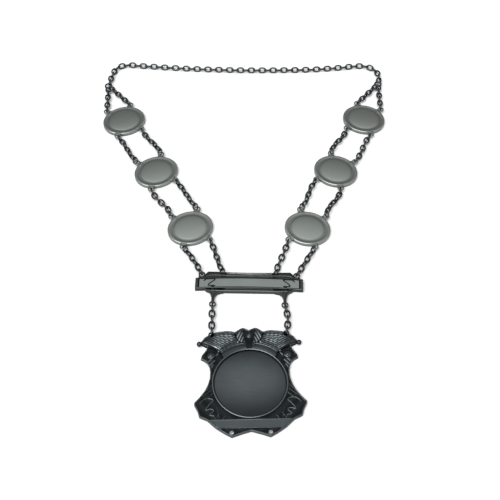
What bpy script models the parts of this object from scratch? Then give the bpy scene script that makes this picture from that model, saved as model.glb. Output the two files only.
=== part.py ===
"""Carnival order on its chain, laid flat on a surface with the pendant towards the viewer.

A cast shield pendant hangs on two short chains from a name bar. From the bar six oval
plaques, three a side, run up to a plain neck chain in double strands of cable chain.
Units are metres, +Z is up, and the back of every casting rests on Z = 0.
"""

from collections import namedtuple
from math import asin, atan2, copysign, cos, pi, radians, sin, sqrt, tau

import bmesh
import bpy
import numpy as np
from mathutils import Matrix, Vector

MM = 0.001

# Cable chain: every link is bent from one round wire
LINK_LENGTH = 6.8 * MM
LINK_WIDTH = 4.9 * MM
LINK_WIRE = 1.2 * MM
LINK_SIDES = 10
WIRE_SIDES = 5
BITE = 0.12 * MM
STRAND_LINK_COUNT = 6
SHORT_STRAND_LINK_COUNT = 5
DROP_LINK_COUNT = 5
DROP_SLACK = 0.002
SHOULDER_SLACK = 0.03

# Jump rings at the lower end of each strand, and the rings that carry the neck chain
RING_DIAMETER = 6.0 * MM
RING_WIRE = 1.0 * MM
JUNCTION_DIAMETER = 6.4 * MM
JUNCTION_WIRE = 1.2 * MM
JUNCTION_SIDES = 14

# Height of the chain's axis, and the pierced ears that the end links go through
CHAIN_HEIGHT = 2.7 * MM
EAR_THICKNESS = 0.9 * MM
EAR_WALL = 0.95 * MM
EAR_HOLE = 1.5 * MM
EAR_STEPS = 4
HOLE_SIDES = 8
HOLE_PLAY = 0.25 * MM
POCKET_WIDTH = 8.0 * MM
POCKET_SKIN = 0.03 * MM

# Oval plaques
PLAQUE_WIDTH = 33.8 * MM
PLAQUE_HEIGHT = 29.4 * MM
PLAQUE_THICKNESS = 3.4 * MM
PLAQUE_SIDES = 24
PLAQUE_EAR_ACROSS = 8.9 * MM

# Name bar, which arches up in its middle, with its ears set in from the ends and from each other
BAR_WIDTH = 75.6 * MM
BAR_HEIGHT = 8.8 * MM
BAR_THICKNESS = 3.7 * MM
BAR_ARCH = 1.2 * MM
BAR_STEPS = 8
BAR_MARGIN = 2.5 * MM
BAR_FIELD_HEIGHT = 7.4 * MM
BAR_FIELD_DEPTH = 0.35 * MM
BAR_TURN = radians(-1.0)
BAR_EAR_INSET = 4.4 * MM
BAR_EAR_SPACING = 15.4 * MM
BAR_EAR_REACH = 3.3 * MM
DROP_EYE_INSET = 12.8 * MM
DROP_LUG_LENGTH = 12.1 * MM
DROP_LUG_SPREAD = 9.3 * MM
DROP_LUG_NECK = 1.8 * MM

# Shield pendant
SHIELD_WIDTH = 72.4 * MM
SHIELD_HEIGHT = 77.8 * MM
SHIELD_THICKNESS = 2.2 * MM
FIELD_FLOOR = 1.5 * MM
RIM_DIAMETER = 50.0 * MM
RIM_WIDTH = 1.3 * MM
RIM_TOP = 3.3 * MM
RIM_SIDES = 40
CAP_TOP = 3.4 * MM
BRIM_TOP = 3.7 * MM
BANNER_TOP = 3.0 * MM
PENDANT_TURN = radians(1.3)
PENDANT_BEARING = radians(0.94)
PENDANT_HOLE_INSET = 1.6 * MM
BELL_DIAMETER = 3.6 * MM
STREAMER_WIRE = 0.8 * MM
STREAMER_LIFT = 0.1 * MM

# Stones and their seats
RHINESTONE_DIAMETER = 2.8 * MM
RHINESTONE_SPACING = 24.6 * MM
CENTRE_STONE_DIAMETER = 2.6 * MM
CENTRE_STONE_INSET = 4.1 * MM
STONE_SIDES = 8
SEAT_GAP = 0.3 * MM
SEAT_WALL = 0.4 * MM
BANNER_GAP = 0.2 * MM
SEAT_RISE = 0.5 * MM
SEAT_FLOOR = 0.8 * MM

# Neck chain and shoulder chains, as plain tubes of the chain's outer size
NECK_RISE = 24.8 * MM
CHAIN_TUBE = 3.9 * MM
TUBE_STEP = 2.5
MEET_GAP = 0.3 * MM
RAMP_LENGTH = 25.0 * MM

# Half of the shield's outline, from the dip between the caps down to the banner's foot
SHIELD_OUTLINE = (
    # across, up: shares of half the width and of the height, from the field's centre
    (0.000, 0.502),
    (0.062, 0.517),
    (0.105, 0.526),
    (0.148, 0.522),
    (0.263, 0.485),
    (0.340, 0.495),
    (0.419, 0.498),
    (0.560, 0.492),
    (0.685, 0.478),
    (0.826, 0.437),
    (0.915, 0.378),
    (0.790, 0.359),
    (0.772, 0.338),
    (0.796, 0.312),
    (0.872, 0.263),
    (0.890, 0.230),
    (0.830, 0.216),
    (0.775, 0.195),
    (0.735, 0.160),
    (0.716, 0.110),
    (0.722, 0.050),
    (0.757, -0.012),
    (0.811, -0.065),
    (0.904, -0.125),
    (0.999, -0.174),
    (0.997, -0.193),
    (0.938, -0.245),
    (0.908, -0.297),
    (0.767, -0.327),
    (0.615, -0.394),
    (0.468, -0.440),
    (0.338, -0.475),
    (0.180, -0.449),
    (0.000, -0.424),
)

# The rows of the outline between the valley of a cap and its bell, where the drop chain goes in
CAP_BACK_ROWS = slice(4, 11)

# One jester's cap, from its curled tip by the middle round to its bell and back along the brim
CAP_OUTLINE = (
    # across, up: shares of half the shield's width and of its height
    (0.068, 0.503),
    (0.105, 0.515),
    (0.150, 0.510),
    (0.262, 0.474),
    (0.340, 0.483),
    (0.419, 0.488),
    (0.560, 0.480),
    (0.685, 0.467),
    (0.826, 0.427),
    (0.905, 0.378),
    (0.747, 0.345),
    (0.638, 0.317),
    (0.550, 0.290),
    (0.500, 0.268),
    (0.375, 0.308),
    (0.255, 0.333),
    (0.135, 0.345),
    (0.046, 0.335),
    (0.098, 0.488),
)

# The smooth brim under a cap, which follows the round field's rim
BRIM = (
    # turn from straight up in degrees, width as a share of the rim's width
    (3.5, 0.8),
    (6.0, 1.5),
    (10.5, 2.2),
    (20.0, 2.4),
    (30.0, 2.4),
    (39.5, 2.6),
    (43.0, 1.3),
)

# The bell at a cap's tip, the small ball at its brim, and the boss in the lobe below
KNOBS = (
    # across, up: shares of the half width and the height; size as a share of the bell's;
    # height of the middle as a share of the shield's thickness
    (0.922, 0.374, 1.00, 0.94),
    (0.562, 0.290, 0.55, 1.40),
    (0.701, 0.256, 0.95, 0.80),
)

BANNER_OUTLINE = (
    # across, up: shares of the half width and the height
    (0.745, -0.324),
    (0.558, -0.408),
)

STREAMER = (
    # across, up: shares of the half width and the height
    (0.890, -0.172),
    (0.815, -0.142),
    (0.725, -0.138),
    (0.660, -0.156),
    (0.725, -0.190),
    (0.795, -0.238),
    (0.705, -0.231),
    (0.652, -0.246),
    (0.725, -0.280),
    (0.640, -0.292),
)

# The bar's backing plate, right half, from the middle of its top to the middle of its foot
BACKING_OUTLINE = (
    # across, up: shares of half the bar's width and of its height
    (0.000, 0.953),
    (0.405, 1.003),
    (0.772, 1.136),
    (0.852, 0.730),
    (0.885, 0.400),
    (0.860, -0.300),
    (0.802, -0.560),
    (0.466, -0.683),
    (0.000, -0.663),
)

# A lug that tapers from the bar's foot to the eye of a drop chain
LUG_OUTLINE = (
    # outwards, down: shares of the lug's spread and of its length
    (0.560, -0.100),
    (0.560, 0.050),
    (0.288, 0.165),
    (0.165, 0.365),
    (0.105, 0.580),
    (0.097, 0.820),
    (-0.097, 0.820),
    (-0.105, 0.580),
    (-0.195, 0.385),
    (-0.403, 0.228),
    (-0.808, 0.136),
    (-0.808, -0.100),
)

BAR_STREAMER = (
    # across, up: shares of half the bar's width and of its height
    (0.843, 0.183),
    (0.794, 0.360),
    (0.635, 0.319),
    (0.718, 0.010),
    (0.755, -0.236),
    (0.635, -0.260),
    (0.700, -0.370),
)

# Section of a cut stone, from the middle of its table out to the girdle and down to its point
STONE_SECTION = (
    # out, up: shares of the stone's diameter
    (0.000, 0.220),
    (0.290, 0.220),
    (0.500, 0.040),
    (0.500, 0.000),
    (0.000, -0.340),
)

# Section of an oval plaque, from the middle of its face out over the rim and under
PLAQUE_SECTION = (
    # out: share of the half width, up: share of the thickness
    (0.000, 0.990),
    (0.735, 0.920),
    (0.775, 0.830),
    (0.820, 0.960),
    (0.965, 1.000),
    (1.000, 0.930),
    (1.000, 0.000),
    (0.000, 0.000),
)

SIDES = {"left": -1, "right": 1}
ROWS = ("lower", "middle", "upper")

# Where each plaque goes, from the lower one by the bar upwards
PLAQUE_PLACES = {
    # side: bearing from straight up, turn, both outwards in degrees; slack share of its tighter strand
    "left": ((23.1, 19.6, 0.006), (30.5, 25.6, 0.006), (29.5, 22.6, 0.012)),
    "right": ((22.1, 18.9, 0.006), (24.9, 25.4, 0.036), (25.3, 20.5, 0.030)),
}

# How each strand lies, from the lower one upwards
STRAND_LAY = {
    # side and strand: swings of its route, turns of its top link and of its jump ring in degrees
    ("left", "outer"): ((1, 125.0, 55.0), (-2, 75.0, 55.0), (2, 95.0, 125.0)),
    ("left", "inner"): ((2, 95.0, 125.0), (2, 100.0, 125.0), (-2, 85.0, 125.0)),
    ("right", "outer"): ((1, 55.0, 125.0), (2, 85.0, 55.0), (-2, 95.0, 125.0)),
    ("right", "inner"): ((2, 85.0, 125.0), (-2, 80.0, 55.0), (2, 105.0, 55.0)),
}

# The neck chain's route from the left junction to the right one
NECK_ROUTE = (
    # across, up: shares of half the distance between the junctions and of the rise
    (-0.990, 0.300),
    (-0.975, 0.650),
    (-0.940, 0.900),
    (-0.865, 1.000),
    (-0.787, 0.965),
    (-0.464, 0.840),
    (-0.140, 0.765),
    (0.104, 0.745),
    (0.466, 0.770),
    (0.709, 0.860),
    (0.860, 0.950),
    (0.940, 0.900),
    (0.995, 0.690),
    (1.017, 0.370),
)

Piece = namedtuple("Piece", "mesh half inner")
Ear = namedtuple("Ear", "hole outward")


def clear_scene():
    for found in list(bpy.data.objects):
        bpy.data.objects.remove(found, do_unlink=True)


def new_collection(name):
    made = bpy.data.collections.new(name)
    bpy.context.scene.collection.children.link(made)
    return made


def metal(name, colour, roughness, metallic=1.0):
    made = bpy.data.materials.new(name)
    made.use_nodes = True
    shader = made.node_tree.nodes["Principled BSDF"]
    shader.inputs["Base Color"].default_value = (*colour, 1.0)
    shader.inputs["Roughness"].default_value = roughness
    shader.inputs["Metallic"].default_value = metallic
    return made


def add_helper(name, data):
    """A cutter or a shape that is still to be joined, left out of the render."""
    made = bpy.data.objects.new(name, data)
    made.hide_render = True
    made.display_type = "WIRE"
    cutters.objects.link(made)
    return made


def add_part(name, mesh, material, place=Matrix.Identity(4)):
    made = bpy.data.objects.new(name, mesh)
    if not mesh.materials:
        mesh.materials.append(material)
    made.matrix_world = place
    parts.objects.link(made)


def evaluated_mesh(helper):
    """The helper's final mesh in its own place, with the helper itself removed."""
    bpy.context.view_layer.update()
    graph = bpy.context.evaluated_depsgraph_get()
    mesh = bpy.data.meshes.new_from_object(helper.evaluated_get(graph))
    mesh.transform(helper.matrix_world)
    bpy.data.objects.remove(helper)
    welded = bmesh.new()
    welded.from_mesh(mesh)
    bmesh.ops.remove_doubles(welded, verts=welded.verts, dist=0.001 * MM)
    bmesh.ops.recalc_face_normals(welded, faces=welded.faces)
    welded.to_mesh(mesh)
    welded.free()
    return mesh


def joined(name, solids, cuts=()):
    """One mesh: the solids united, and then the cuts taken out of them."""
    base = add_helper(name, solids[0])
    others = [(mesh, "UNION") for mesh in solids[1:]] + [(mesh, "DIFFERENCE") for mesh in cuts]
    helpers = []
    for count, (mesh, operation) in enumerate(others):
        helper = add_helper(f"{name}_{operation.lower()}_{count}", mesh)
        modifier = base.modifiers.new(helper.name, "BOOLEAN")
        modifier.operation = operation
        modifier.solver = "EXACT"
        modifier.object = helper
        helpers.append(helper)
    mesh = evaluated_mesh(base)
    for helper in helpers:
        bpy.data.objects.remove(helper)
    return mesh


def plate(name, outline, bottom, top, holes=()):
    """A flat outline, and any holes in it, extruded between two heights."""
    curve = bpy.data.curves.new(name, "CURVE")
    curve.dimensions = "2D"
    curve.fill_mode = "BOTH"
    curve.extrude = (top - bottom) / 2
    for points in (outline, *holes):
        spline = curve.splines.new("POLY")
        spline.points.add(len(points) - 1)
        for knot, point in zip(spline.points, points):
            knot.co = (point[0], point[1], 0.0, 1.0)
        spline.use_cyclic_u = True
    helper = add_helper(name, curve)
    helper.location.z = (top + bottom) / 2
    return evaluated_mesh(helper)


def tube(name, points, diameter, resolution=2):
    """A round wire along the points, with filled ends."""
    curve = bpy.data.curves.new(name, "CURVE")
    curve.dimensions = "3D"
    curve.bevel_depth = diameter / 2
    curve.bevel_resolution = resolution
    curve.use_fill_caps = True
    spline = curve.splines.new("POLY")
    spline.points.add(len(points) - 1)
    for knot, point in zip(spline.points, points):
        knot.co = (*point, 1.0)
    return evaluated_mesh(add_helper(name, curve))


def turned(name, section, sides):
    """A section in X and Z, listed from the top of the axis outwards, turned round Z."""
    mesh = bpy.data.meshes.new(name)
    edges = [(at, at + 1) for at in range(len(section) - 1)]
    mesh.from_pydata([(x, 0.0, z) for x, z in section], edges, [])
    helper = add_helper(name, mesh)
    screw = helper.modifiers.new("turn", "SCREW")
    screw.steps = sides
    screw.render_steps = sides
    screw.use_merge_vertices = True
    screw.merge_threshold = 0.01 * MM
    return evaluated_mesh(helper)


def cylinder(radius, bottom, top, sides, centre=(0.0, 0.0)):
    built = bmesh.new()
    bmesh.ops.create_cone(
        built, cap_ends=True, segments=sides, radius1=radius, radius2=radius, depth=top - bottom
    )
    bmesh.ops.translate(built, verts=built.verts, vec=(*centre, (top + bottom) / 2))
    return finished(built, "cylinder")


def block(size, centre, turn=0.0):
    built = bmesh.new()
    bmesh.ops.create_cube(built, size=1.0)
    place = Matrix.Translation(centre) @ Matrix.Rotation(turn, 4, "Z") @ Matrix.Diagonal((*size, 1.0))
    bmesh.ops.transform(built, verts=built.verts, matrix=place)
    return finished(built, "block")


def ball(diameter, centre):
    built = bmesh.new()
    bmesh.ops.create_uvsphere(built, u_segments=8, v_segments=6, radius=diameter / 2)
    bmesh.ops.translate(built, verts=built.verts, vec=centre)
    return finished(built, "ball")


def finished(built, name):
    mesh = bpy.data.meshes.new(name)
    built.to_mesh(mesh)
    built.free()
    return mesh


def placed(mesh, matrix):
    """A copy of the mesh, moved by the matrix."""
    copied = mesh.copy()
    copied.transform(matrix)
    if matrix.determinant() < 0:
        copied.flip_normals()
    return copied


def circle(radius, sides, centre=(0.0, 0.0)):
    turns = [tau * at / sides for at in range(sides)]
    return [(centre[0] + radius * cos(a), centre[1] + radius * sin(a)) for a in turns]


def both_halves(half):
    """A closed outline from its right half, listed from the top down."""
    return [*half, *((-x, y) for x, y in reversed(half) if x > 0)]


def scaled(rows, across, up):
    return [(x * across, y * up) for x, y in rows]


def ear_bottom():
    return CHAIN_HEIGHT - EAR_THICKNESS / 2


def ear_top():
    return CHAIN_HEIGHT + EAR_THICKNESS / 2


def ear_radius():
    return EAR_HOLE + EAR_WALL


def ear_plate(ear, neck_width):
    """A round end, still to be pierced, whose neck reaches back into what carries it."""
    radius = ear_radius()
    reach = pi - asin(neck_width / 2 / radius)
    steps = round(EAR_STEPS * reach / (pi / 2))
    turns = [reach * at / steps for at in range(-steps, steps + 1)]
    local = [(radius * cos(a), radius * sin(a)) for a in turns]
    local += [(-2 * radius, neck_width / 2), (-2 * radius, -neck_width / 2)]
    turn = atan2(ear.outward.y, ear.outward.x)
    spin = Matrix.Rotation(turn, 2)
    outline = [ear.hole.xy + spin @ Vector(point) for point in local]
    return plate("ear", outline, ear_bottom(), ear_top())


def ear_hole(ear):
    """The cut that pierces an ear and all that lies above and below its hole."""
    return cylinder(EAR_HOLE, -MM, BRIM_TOP + MM, HOLE_SIDES, ear.hole.xy)


def pocket(ear, depth_past_edge):
    """The relief under an ear that is flush with its plate, so that a link can pass below.

    It stops just short of the ear's underside, so that no two faces of the solids coincide.
    """
    inward = ear_radius()
    length = inward + depth_past_edge
    middle = ear.hole + ear.outward * (depth_past_edge - inward) / 2
    turn = atan2(ear.outward.y, ear.outward.x)
    height = 2 * (ear_bottom() - POCKET_SKIN)
    return block((length, POCKET_WIDTH, height), (middle.x, middle.y, 0.0), turn)


def wire_radius(wire):
    """The radius of the wire's flat-sided section that has the round wire's area."""
    return wire / 2 * sqrt(tau / (WIRE_SIDES * sin(tau / WIRE_SIDES)))


def wire_ring(name, length, width, wire, sides):
    """A closed ring of wire along X, pulled out into a link where it is longer than wide."""
    radius = wire_radius(wire)
    bpy.ops.mesh.primitive_torus_add(
        major_segments=sides,
        minor_segments=WIRE_SIDES,
        major_radius=(width - wire) / 2,
        minor_radius=radius,
        generate_uvs=False,
    )
    made = bpy.context.object
    mesh = made.data
    mesh.name = name
    bpy.data.objects.remove(made)
    stretch = (length - width) / 2
    for vertex in mesh.vertices:
        vertex.co.x += copysign(stretch, vertex.co.x)
    half = (length - wire) / 2
    return Piece(mesh, half, half - radius * cos(pi / WIRE_SIDES))


def along(start, end, length, swings):
    """A flat route of the given length between two points, swinging evenly to both sides.

    The side step is a sine of the share of the way, and its reach is found by halving.
    """
    start, end = np.array(start[:2]), np.array(end[:2])
    ahead = end - start
    aside = np.array((-ahead[1], ahead[0])) / np.linalg.norm(ahead)
    share = np.linspace(0.0, 1.0, 241)
    low, high = 0.0, length
    for _ in range(40):
        reach = (low + high) / 2
        points = start + np.outer(share, ahead) + np.outer(reach * np.sin(pi * swings * share), aside)
        total = np.hypot(*np.diff(points, axis=0).T).sum()
        low, high = (reach, high) if total < length else (low, reach)
    return points


def stations(points, distances):
    """Places and headings at the given distances along a route."""
    steps = np.hypot(*np.diff(points, axis=0).T)
    walked = np.concatenate(([0.0], np.cumsum(steps)))
    tangents = np.gradient(points, walked, axis=0)
    found = []
    for distance in distances:
        x, y = (np.interp(distance, walked, column) for column in points.T)
        dx, dy = (np.interp(distance, walked, column) for column in tangents.T)
        found.append((Vector((x, y, CHAIN_HEIGHT)), atan2(dy, dx)))
    return found


def strand_spacing(pieces):
    """Distances from the upper hole to each piece, and last to the lower hole."""
    found = [HOLE_PLAY + pieces[0].half]
    for first, second in zip(pieces, pieces[1:]):
        found.append(found[-1] + first.inner + second.inner + BITE)
    found.append(found[-1] + pieces[-1].half + HOLE_PLAY)
    return found


def fused_chain(name, pieces, start, end, swings, first_turn, last_turn):
    """Interlocked links as one body, each about a quarter turn on from the last."""
    distances = strand_spacing(pieces)
    route = along(start, end, distances[-1], swings)
    steps = len(pieces) - 1
    half_turns = round((90.0 * steps - last_turn + first_turn) / 180.0)
    twist = (last_turn - first_turn + 180.0 * half_turns) / steps
    groups = (bmesh.new(), bmesh.new())
    for count, (piece, (place, heading)) in enumerate(zip(pieces, stations(route, distances[:-1]))):
        roll = Matrix.Rotation(-radians(first_turn + count * twist), 4, "X")
        matrix = Matrix.Translation(place) @ Matrix.Rotation(heading, 4, "Z") @ roll
        groups[count % 2].from_mesh(placed(piece.mesh, matrix))
    return joined(name, [finished(group, name) for group in groups])


def tube_chain(name, pieces, start, end, swings):
    """A strand as a plain tube that stops clear of the ears at both ends."""
    length = strand_spacing(pieces)[-1]
    route = along(start, end, length, swings)
    clear = ear_radius() + 2 * MEET_GAP
    count = round((length - 2 * clear) / (TUBE_STEP * CHAIN_TUBE)) + 1
    spots = stations(route, np.linspace(clear, length - clear, count))
    return tube(name, [place for place, _ in spots], CHAIN_TUBE)


def plaque_ears():
    """The four ears of a plaque about its middle, keyed by up or down and left or right."""
    half_width, half_height = PLAQUE_WIDTH / 2, PLAQUE_HEIGHT / 2
    rise = half_height * sqrt(1 - (PLAQUE_EAR_ACROSS / half_width) ** 2)
    found = {}
    for up in (1, -1):
        for side in (-1, 1):
            foot = Vector((side * PLAQUE_EAR_ACROSS, up * rise, 0.0))
            outward = Vector((foot.x / half_width**2, foot.y / half_height**2, 0.0)).normalized()
            found[up, side] = Ear(foot + outward * ear_radius(), outward)
    return found


def plaque_mesh():
    section = [(x * PLAQUE_WIDTH / 2, z * PLAQUE_THICKNESS) for x, z in PLAQUE_SECTION]
    body = turned("plaque", section, PLAQUE_SIDES)
    body.transform(Matrix.Diagonal((1.0, PLAQUE_HEIGHT / PLAQUE_WIDTH, 1.0, 1.0)))
    ears = plaque_ears().values()
    tabs = [ear_plate(ear, 2 * ear_radius()) for ear in ears]
    return joined("plaque", [body, *tabs], [ear_hole(ear) for ear in ears])


def bar_ears():
    """The holes in the bar: outer and inner at its top, and the eyes of the drop chains."""
    up, down = Vector((0.0, 1.0, 0.0)), Vector((0.0, -1.0, 0.0))
    half_width, edge = BAR_WIDTH / 2, BAR_HEIGHT / 2
    outer = half_width - BAR_EAR_INSET
    found = {}
    for side in (-1, 1):
        found["outer", side] = Ear(Vector((side * outer, edge + BAR_EAR_REACH, 0.0)), up)
        inner = side * (outer - BAR_EAR_SPACING)
        found["inner", side] = Ear(Vector((inner, edge + BAR_EAR_REACH, 0.0)), up)
        eye = side * (half_width - DROP_EYE_INSET)
        found["eye", side] = Ear(Vector((eye, -edge - DROP_LUG_LENGTH, 0.0)), down)
    return found


def drop_spacing():
    eyes = bar_ears()
    return eyes["eye", 1].hole.x - eyes["eye", -1].hole.x


def arched(points):
    """Points of the bar moved up by its arch, a parabola that ends at the bar's ends."""
    return [(x, y + BAR_ARCH * (1 - (2 * x / BAR_WIDTH) ** 2)) for x, y in points]


def arched_band(width, height):
    """The outline of a strip along the bar that follows its arch."""
    across = [width * (at / BAR_STEPS - 0.5) for at in range(BAR_STEPS + 1)]
    return arched([*((x, -height / 2) for x in across), *((x, height / 2) for x in reversed(across))])


def streamer(points, side, ground):
    """A thin raised line, a little more than half of it above the ground that it lies on."""
    height = ground + STREAMER_LIFT
    return tube("streamer", [(side * x, y, height) for x, y in points], STREAMER_WIRE, 0)


def bar_mesh():
    half_width, edge = BAR_WIDTH / 2, BAR_HEIGHT / 2
    ears = bar_ears()
    outline = both_halves(scaled(BACKING_OUTLINE, half_width, BAR_HEIGHT))
    solids = [plate("backing", outline, 0.0, ear_top())]
    solids.append(plate("frame", arched_band(BAR_WIDTH, BAR_HEIGHT), 0.0, BAR_THICKNESS))
    cuts = []
    for (kind, side), ear in ears.items():
        neck = DROP_LUG_NECK if kind == "eye" else 2 * ear_radius()
        solids.append(ear_plate(ear, neck))
        cuts.append(ear_hole(ear))
        if kind != "outer":
            cuts.append(pocket(ear, 2 * ear_radius()))
        if kind == "eye":
            rows = scaled(LUG_OUTLINE, side * DROP_LUG_SPREAD, -DROP_LUG_LENGTH)
            lug = [(ear.hole.x + x, y - edge) for x, y in rows]
            solids.append(plate("lug", lug, 0.0, ear_top()))
    floor = BAR_THICKNESS - BAR_FIELD_DEPTH
    field = arched_band(BAR_WIDTH - 2 * BAR_MARGIN, BAR_FIELD_HEIGHT)
    cuts.append(plate("field", field, floor, BAR_THICKNESS + MM))
    mesh = joined("name_bar", solids, cuts)
    streamers = []
    for side in (-1, 1):
        points = arched(scaled(BAR_STREAMER, half_width, BAR_HEIGHT))
        streamers.append(streamer(points, side, floor))
    return joined("name_bar", [mesh, *streamers])


def rim_middle():
    return (RIM_DIAMETER - RIM_WIDTH) / 2


def brim_outline(side):
    """A band whose inner edge runs under the rim, and whose outer edge follows the table."""
    inner = rim_middle()
    outer = [(radians(turn), inner + RIM_WIDTH * (0.5 + share)) for turn, share in BRIM]
    edge = outer + [(turn, inner) for turn, _ in reversed(outer)]
    return [(side * radius * sin(turn), radius * cos(turn)) for turn, radius in edge]


def seat(diameter, centre, base):
    """A collar round a stone, and the cut that the stone sits in clear of the metal."""
    hole = diameter / 2 + SEAT_GAP
    top = base + SEAT_RISE
    collar = cylinder(hole + SEAT_WALL, base - SEAT_RISE, top, 2 * STONE_SIDES, centre)
    return collar, cylinder(hole, SEAT_FLOOR, top + MM, 2 * STONE_SIDES, centre)


def stone_mesh(name, diameter):
    """A cut stone: a flat table, a crown of facets, a girdle and a pavilion that ends in a point."""
    section = [(x * diameter, z * diameter) for x, z in STONE_SECTION]
    return turned(name, section, STONE_SIDES)


def stone_places():
    """Each stone's name, diameter and centre on the shield."""
    dip = SHIELD_HEIGHT * SHIELD_OUTLINE[0][1]
    banner_foot = SHIELD_HEIGHT * BANNER_OUTLINE[-1][1]
    row = banner_foot - RHINESTONE_DIAMETER / 2 - SEAT_GAP - SEAT_WALL - BANNER_GAP
    return (
        ("rhinestone_left", RHINESTONE_DIAMETER, (-RHINESTONE_SPACING / 2, row)),
        ("rhinestone_right", RHINESTONE_DIAMETER, (RHINESTONE_SPACING / 2, row)),
        ("centre_stone", CENTRE_STONE_DIAMETER, (0.0, dip - CENTRE_STONE_INSET)),
    )


def pendant_ears():
    """The two holes in the shield, below its edge and under the eyes of the bar."""
    across = drop_spacing() / 2
    columns = zip(*SHIELD_OUTLINE[CAP_BACK_ROWS])
    edge = SHIELD_HEIGHT * np.interp(2 * across / SHIELD_WIDTH, *columns)
    up = Vector((0.0, 1.0, 0.0))
    return {side: Ear(Vector((side * across, edge - PENDANT_HOLE_INSET, 0.0)), up) for side in (-1, 1)}


def shield_mesh():
    half, thickness = SHIELD_WIDTH / 2, SHIELD_THICKNESS
    inner = rim_middle()
    base = plate("shield", both_halves(scaled(SHIELD_OUTLINE, half, SHIELD_HEIGHT)), 0.0, thickness)
    field = cylinder(inner, FIELD_FLOOR, thickness + MM, RIM_SIDES)
    base = joined("shield", [base], [field])
    holes = [circle(inner - RIM_WIDTH / 2, RIM_SIDES)]
    solids = [base, plate("rim", circle(inner + RIM_WIDTH / 2, RIM_SIDES), MM, RIM_TOP, holes)]
    banner = both_halves(scaled(BANNER_OUTLINE, half, SHIELD_HEIGHT))
    solids.append(plate("banner", banner, MM, BANNER_TOP))
    cuts = []
    for side, ear in pendant_ears().items():
        cap = scaled(CAP_OUTLINE, side * half, SHIELD_HEIGHT)
        solids.append(plate("cap", cap, MM, CAP_TOP))
        solids.append(plate("brim", brim_outline(side), MM, BRIM_TOP))
        solids.append(ear_plate(ear, 2 * ear_radius()))
        cuts.append(pocket(ear, 2 * ear_radius()))
        cuts.append(ear_hole(ear))
        for x, y, size, height in KNOBS:
            middle = (x * side * half, y * SHIELD_HEIGHT, height * thickness)
            solids.append(ball(size * BELL_DIAMETER, middle))
        solids.append(streamer(scaled(STREAMER, half, SHIELD_HEIGHT), side, thickness))
    for _, diameter, centre in stone_places():
        collar, hole = seat(diameter, centre, thickness)
        solids.append(collar)
        cuts.append(hole)
    return joined("pendant_shield", solids, cuts)


def hung(anchors, offsets, bearing, length):
    """The middle of a piece that hangs from two anchors along a bearing, its tighter chain just taut.

    Each chain runs from an anchor to the piece's middle plus an offset. The middle is moved
    along the bearing until the first of the two chains reaches its length.
    """
    middle = (anchors[0] + anchors[1]) / 2
    way = Vector((sin(bearing), cos(bearing), 0.0))
    reaches = []
    for anchor, offset in zip(anchors, offsets):
        apart = middle + offset - anchor
        ahead = way.dot(apart)
        reaches.append(sqrt(ahead**2 - apart.length_squared + length**2) - ahead)
    return middle + way * min(reaches)


def plaque_place(side, anchors, bearing, turn, length):
    """The matrix of one plaque above the two anchors it hangs from."""
    out = SIDES[side]
    spin = Matrix.Rotation(-out * radians(turn), 4, "Z")
    offsets = [spin @ plaque_ears()[-1, ear_side].hole for ear_side in (-1, 1)]
    return Matrix.Translation(hung(anchors, offsets, out * radians(bearing), length)) @ spin


def apex(first, second, leg):
    """The point at the same distance from two points, on the far side from the bar."""
    middle, base = (first + second) / 2, second - first
    up = Vector((-base.y, base.x, 0.0)).normalized()
    return middle + up * sqrt(leg**2 - base.length_squared / 4)


def smooth_route(points, step):
    """Evenly spaced points on a curve through the given ones, straight on at both ends.

    Each span is a cubic whose slope at a point is half the way between its two neighbours.
    """
    knots = np.array([2 * points[0] - points[1], *points, 2 * points[-1] - points[-2]])
    share = np.linspace(0.0, 1.0, 24, endpoint=False)[:, None]
    found = []
    for before, start, end, after in zip(knots, knots[1:], knots[2:], knots[3:]):
        leave, arrive = (end - before) / 2, (after - start) / 2
        span = 3 * (end - start) - 2 * leave - arrive
        bend = 2 * (start - end) + leave + arrive
        found.append(start + share * (leave + share * (span + share * bend)))
    fine = np.vstack((*found, knots[-2:-1]))
    walked = np.concatenate(([0.0], np.cumsum(np.linalg.norm(np.diff(fine, axis=0), axis=1))))
    even = np.linspace(0.0, walked[-1], max(2, round(walked[-1] / step) + 1))
    return np.column_stack([np.interp(even, walked, column) for column in fine.T])


def shoulder_mesh(name, junction, ears):
    """Both strands of a shoulder as plain tubes that run together at the junction."""
    strands = []
    for ear in ears:
        way = (ear - junction).normalized()
        start = junction + way * (JUNCTION_DIAMETER / 2 + MEET_GAP)
        end = ear - way * (ear_radius() + 2 * MEET_GAP)
        strands.append(tube(name, smooth_route([start, end], TUBE_STEP * CHAIN_TUBE), CHAIN_TUBE))
    return joined(name, strands)


def neck_mesh(left, right):
    """The neck chain as a plain tube from junction to junction, lying on the floor between them."""
    half = (right - left).length / 2
    middle = (left + right) / 2
    points = [middle + Vector((x * half, y * NECK_RISE, 0.0)) for x, y in NECK_ROUTE]
    reach = JUNCTION_DIAMETER / 2 + MEET_GAP
    first = left + (points[0] - left).normalized() * reach
    last = right + (points[-1] - right).normalized() * reach
    route = smooth_route([first, *points, last], TUBE_STEP * CHAIN_TUBE)
    walked = np.concatenate(([0.0], np.cumsum(np.linalg.norm(np.diff(route, axis=0), axis=1))))
    ramp = np.clip(np.minimum(walked, walked[-1] - walked) / RAMP_LENGTH, 0.0, 1.0)
    route[:, 2] = CHAIN_HEIGHT + ramp * (CHAIN_TUBE / 2 - CHAIN_HEIGHT)
    return tube("neck_chain", route, CHAIN_TUBE)


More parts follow.
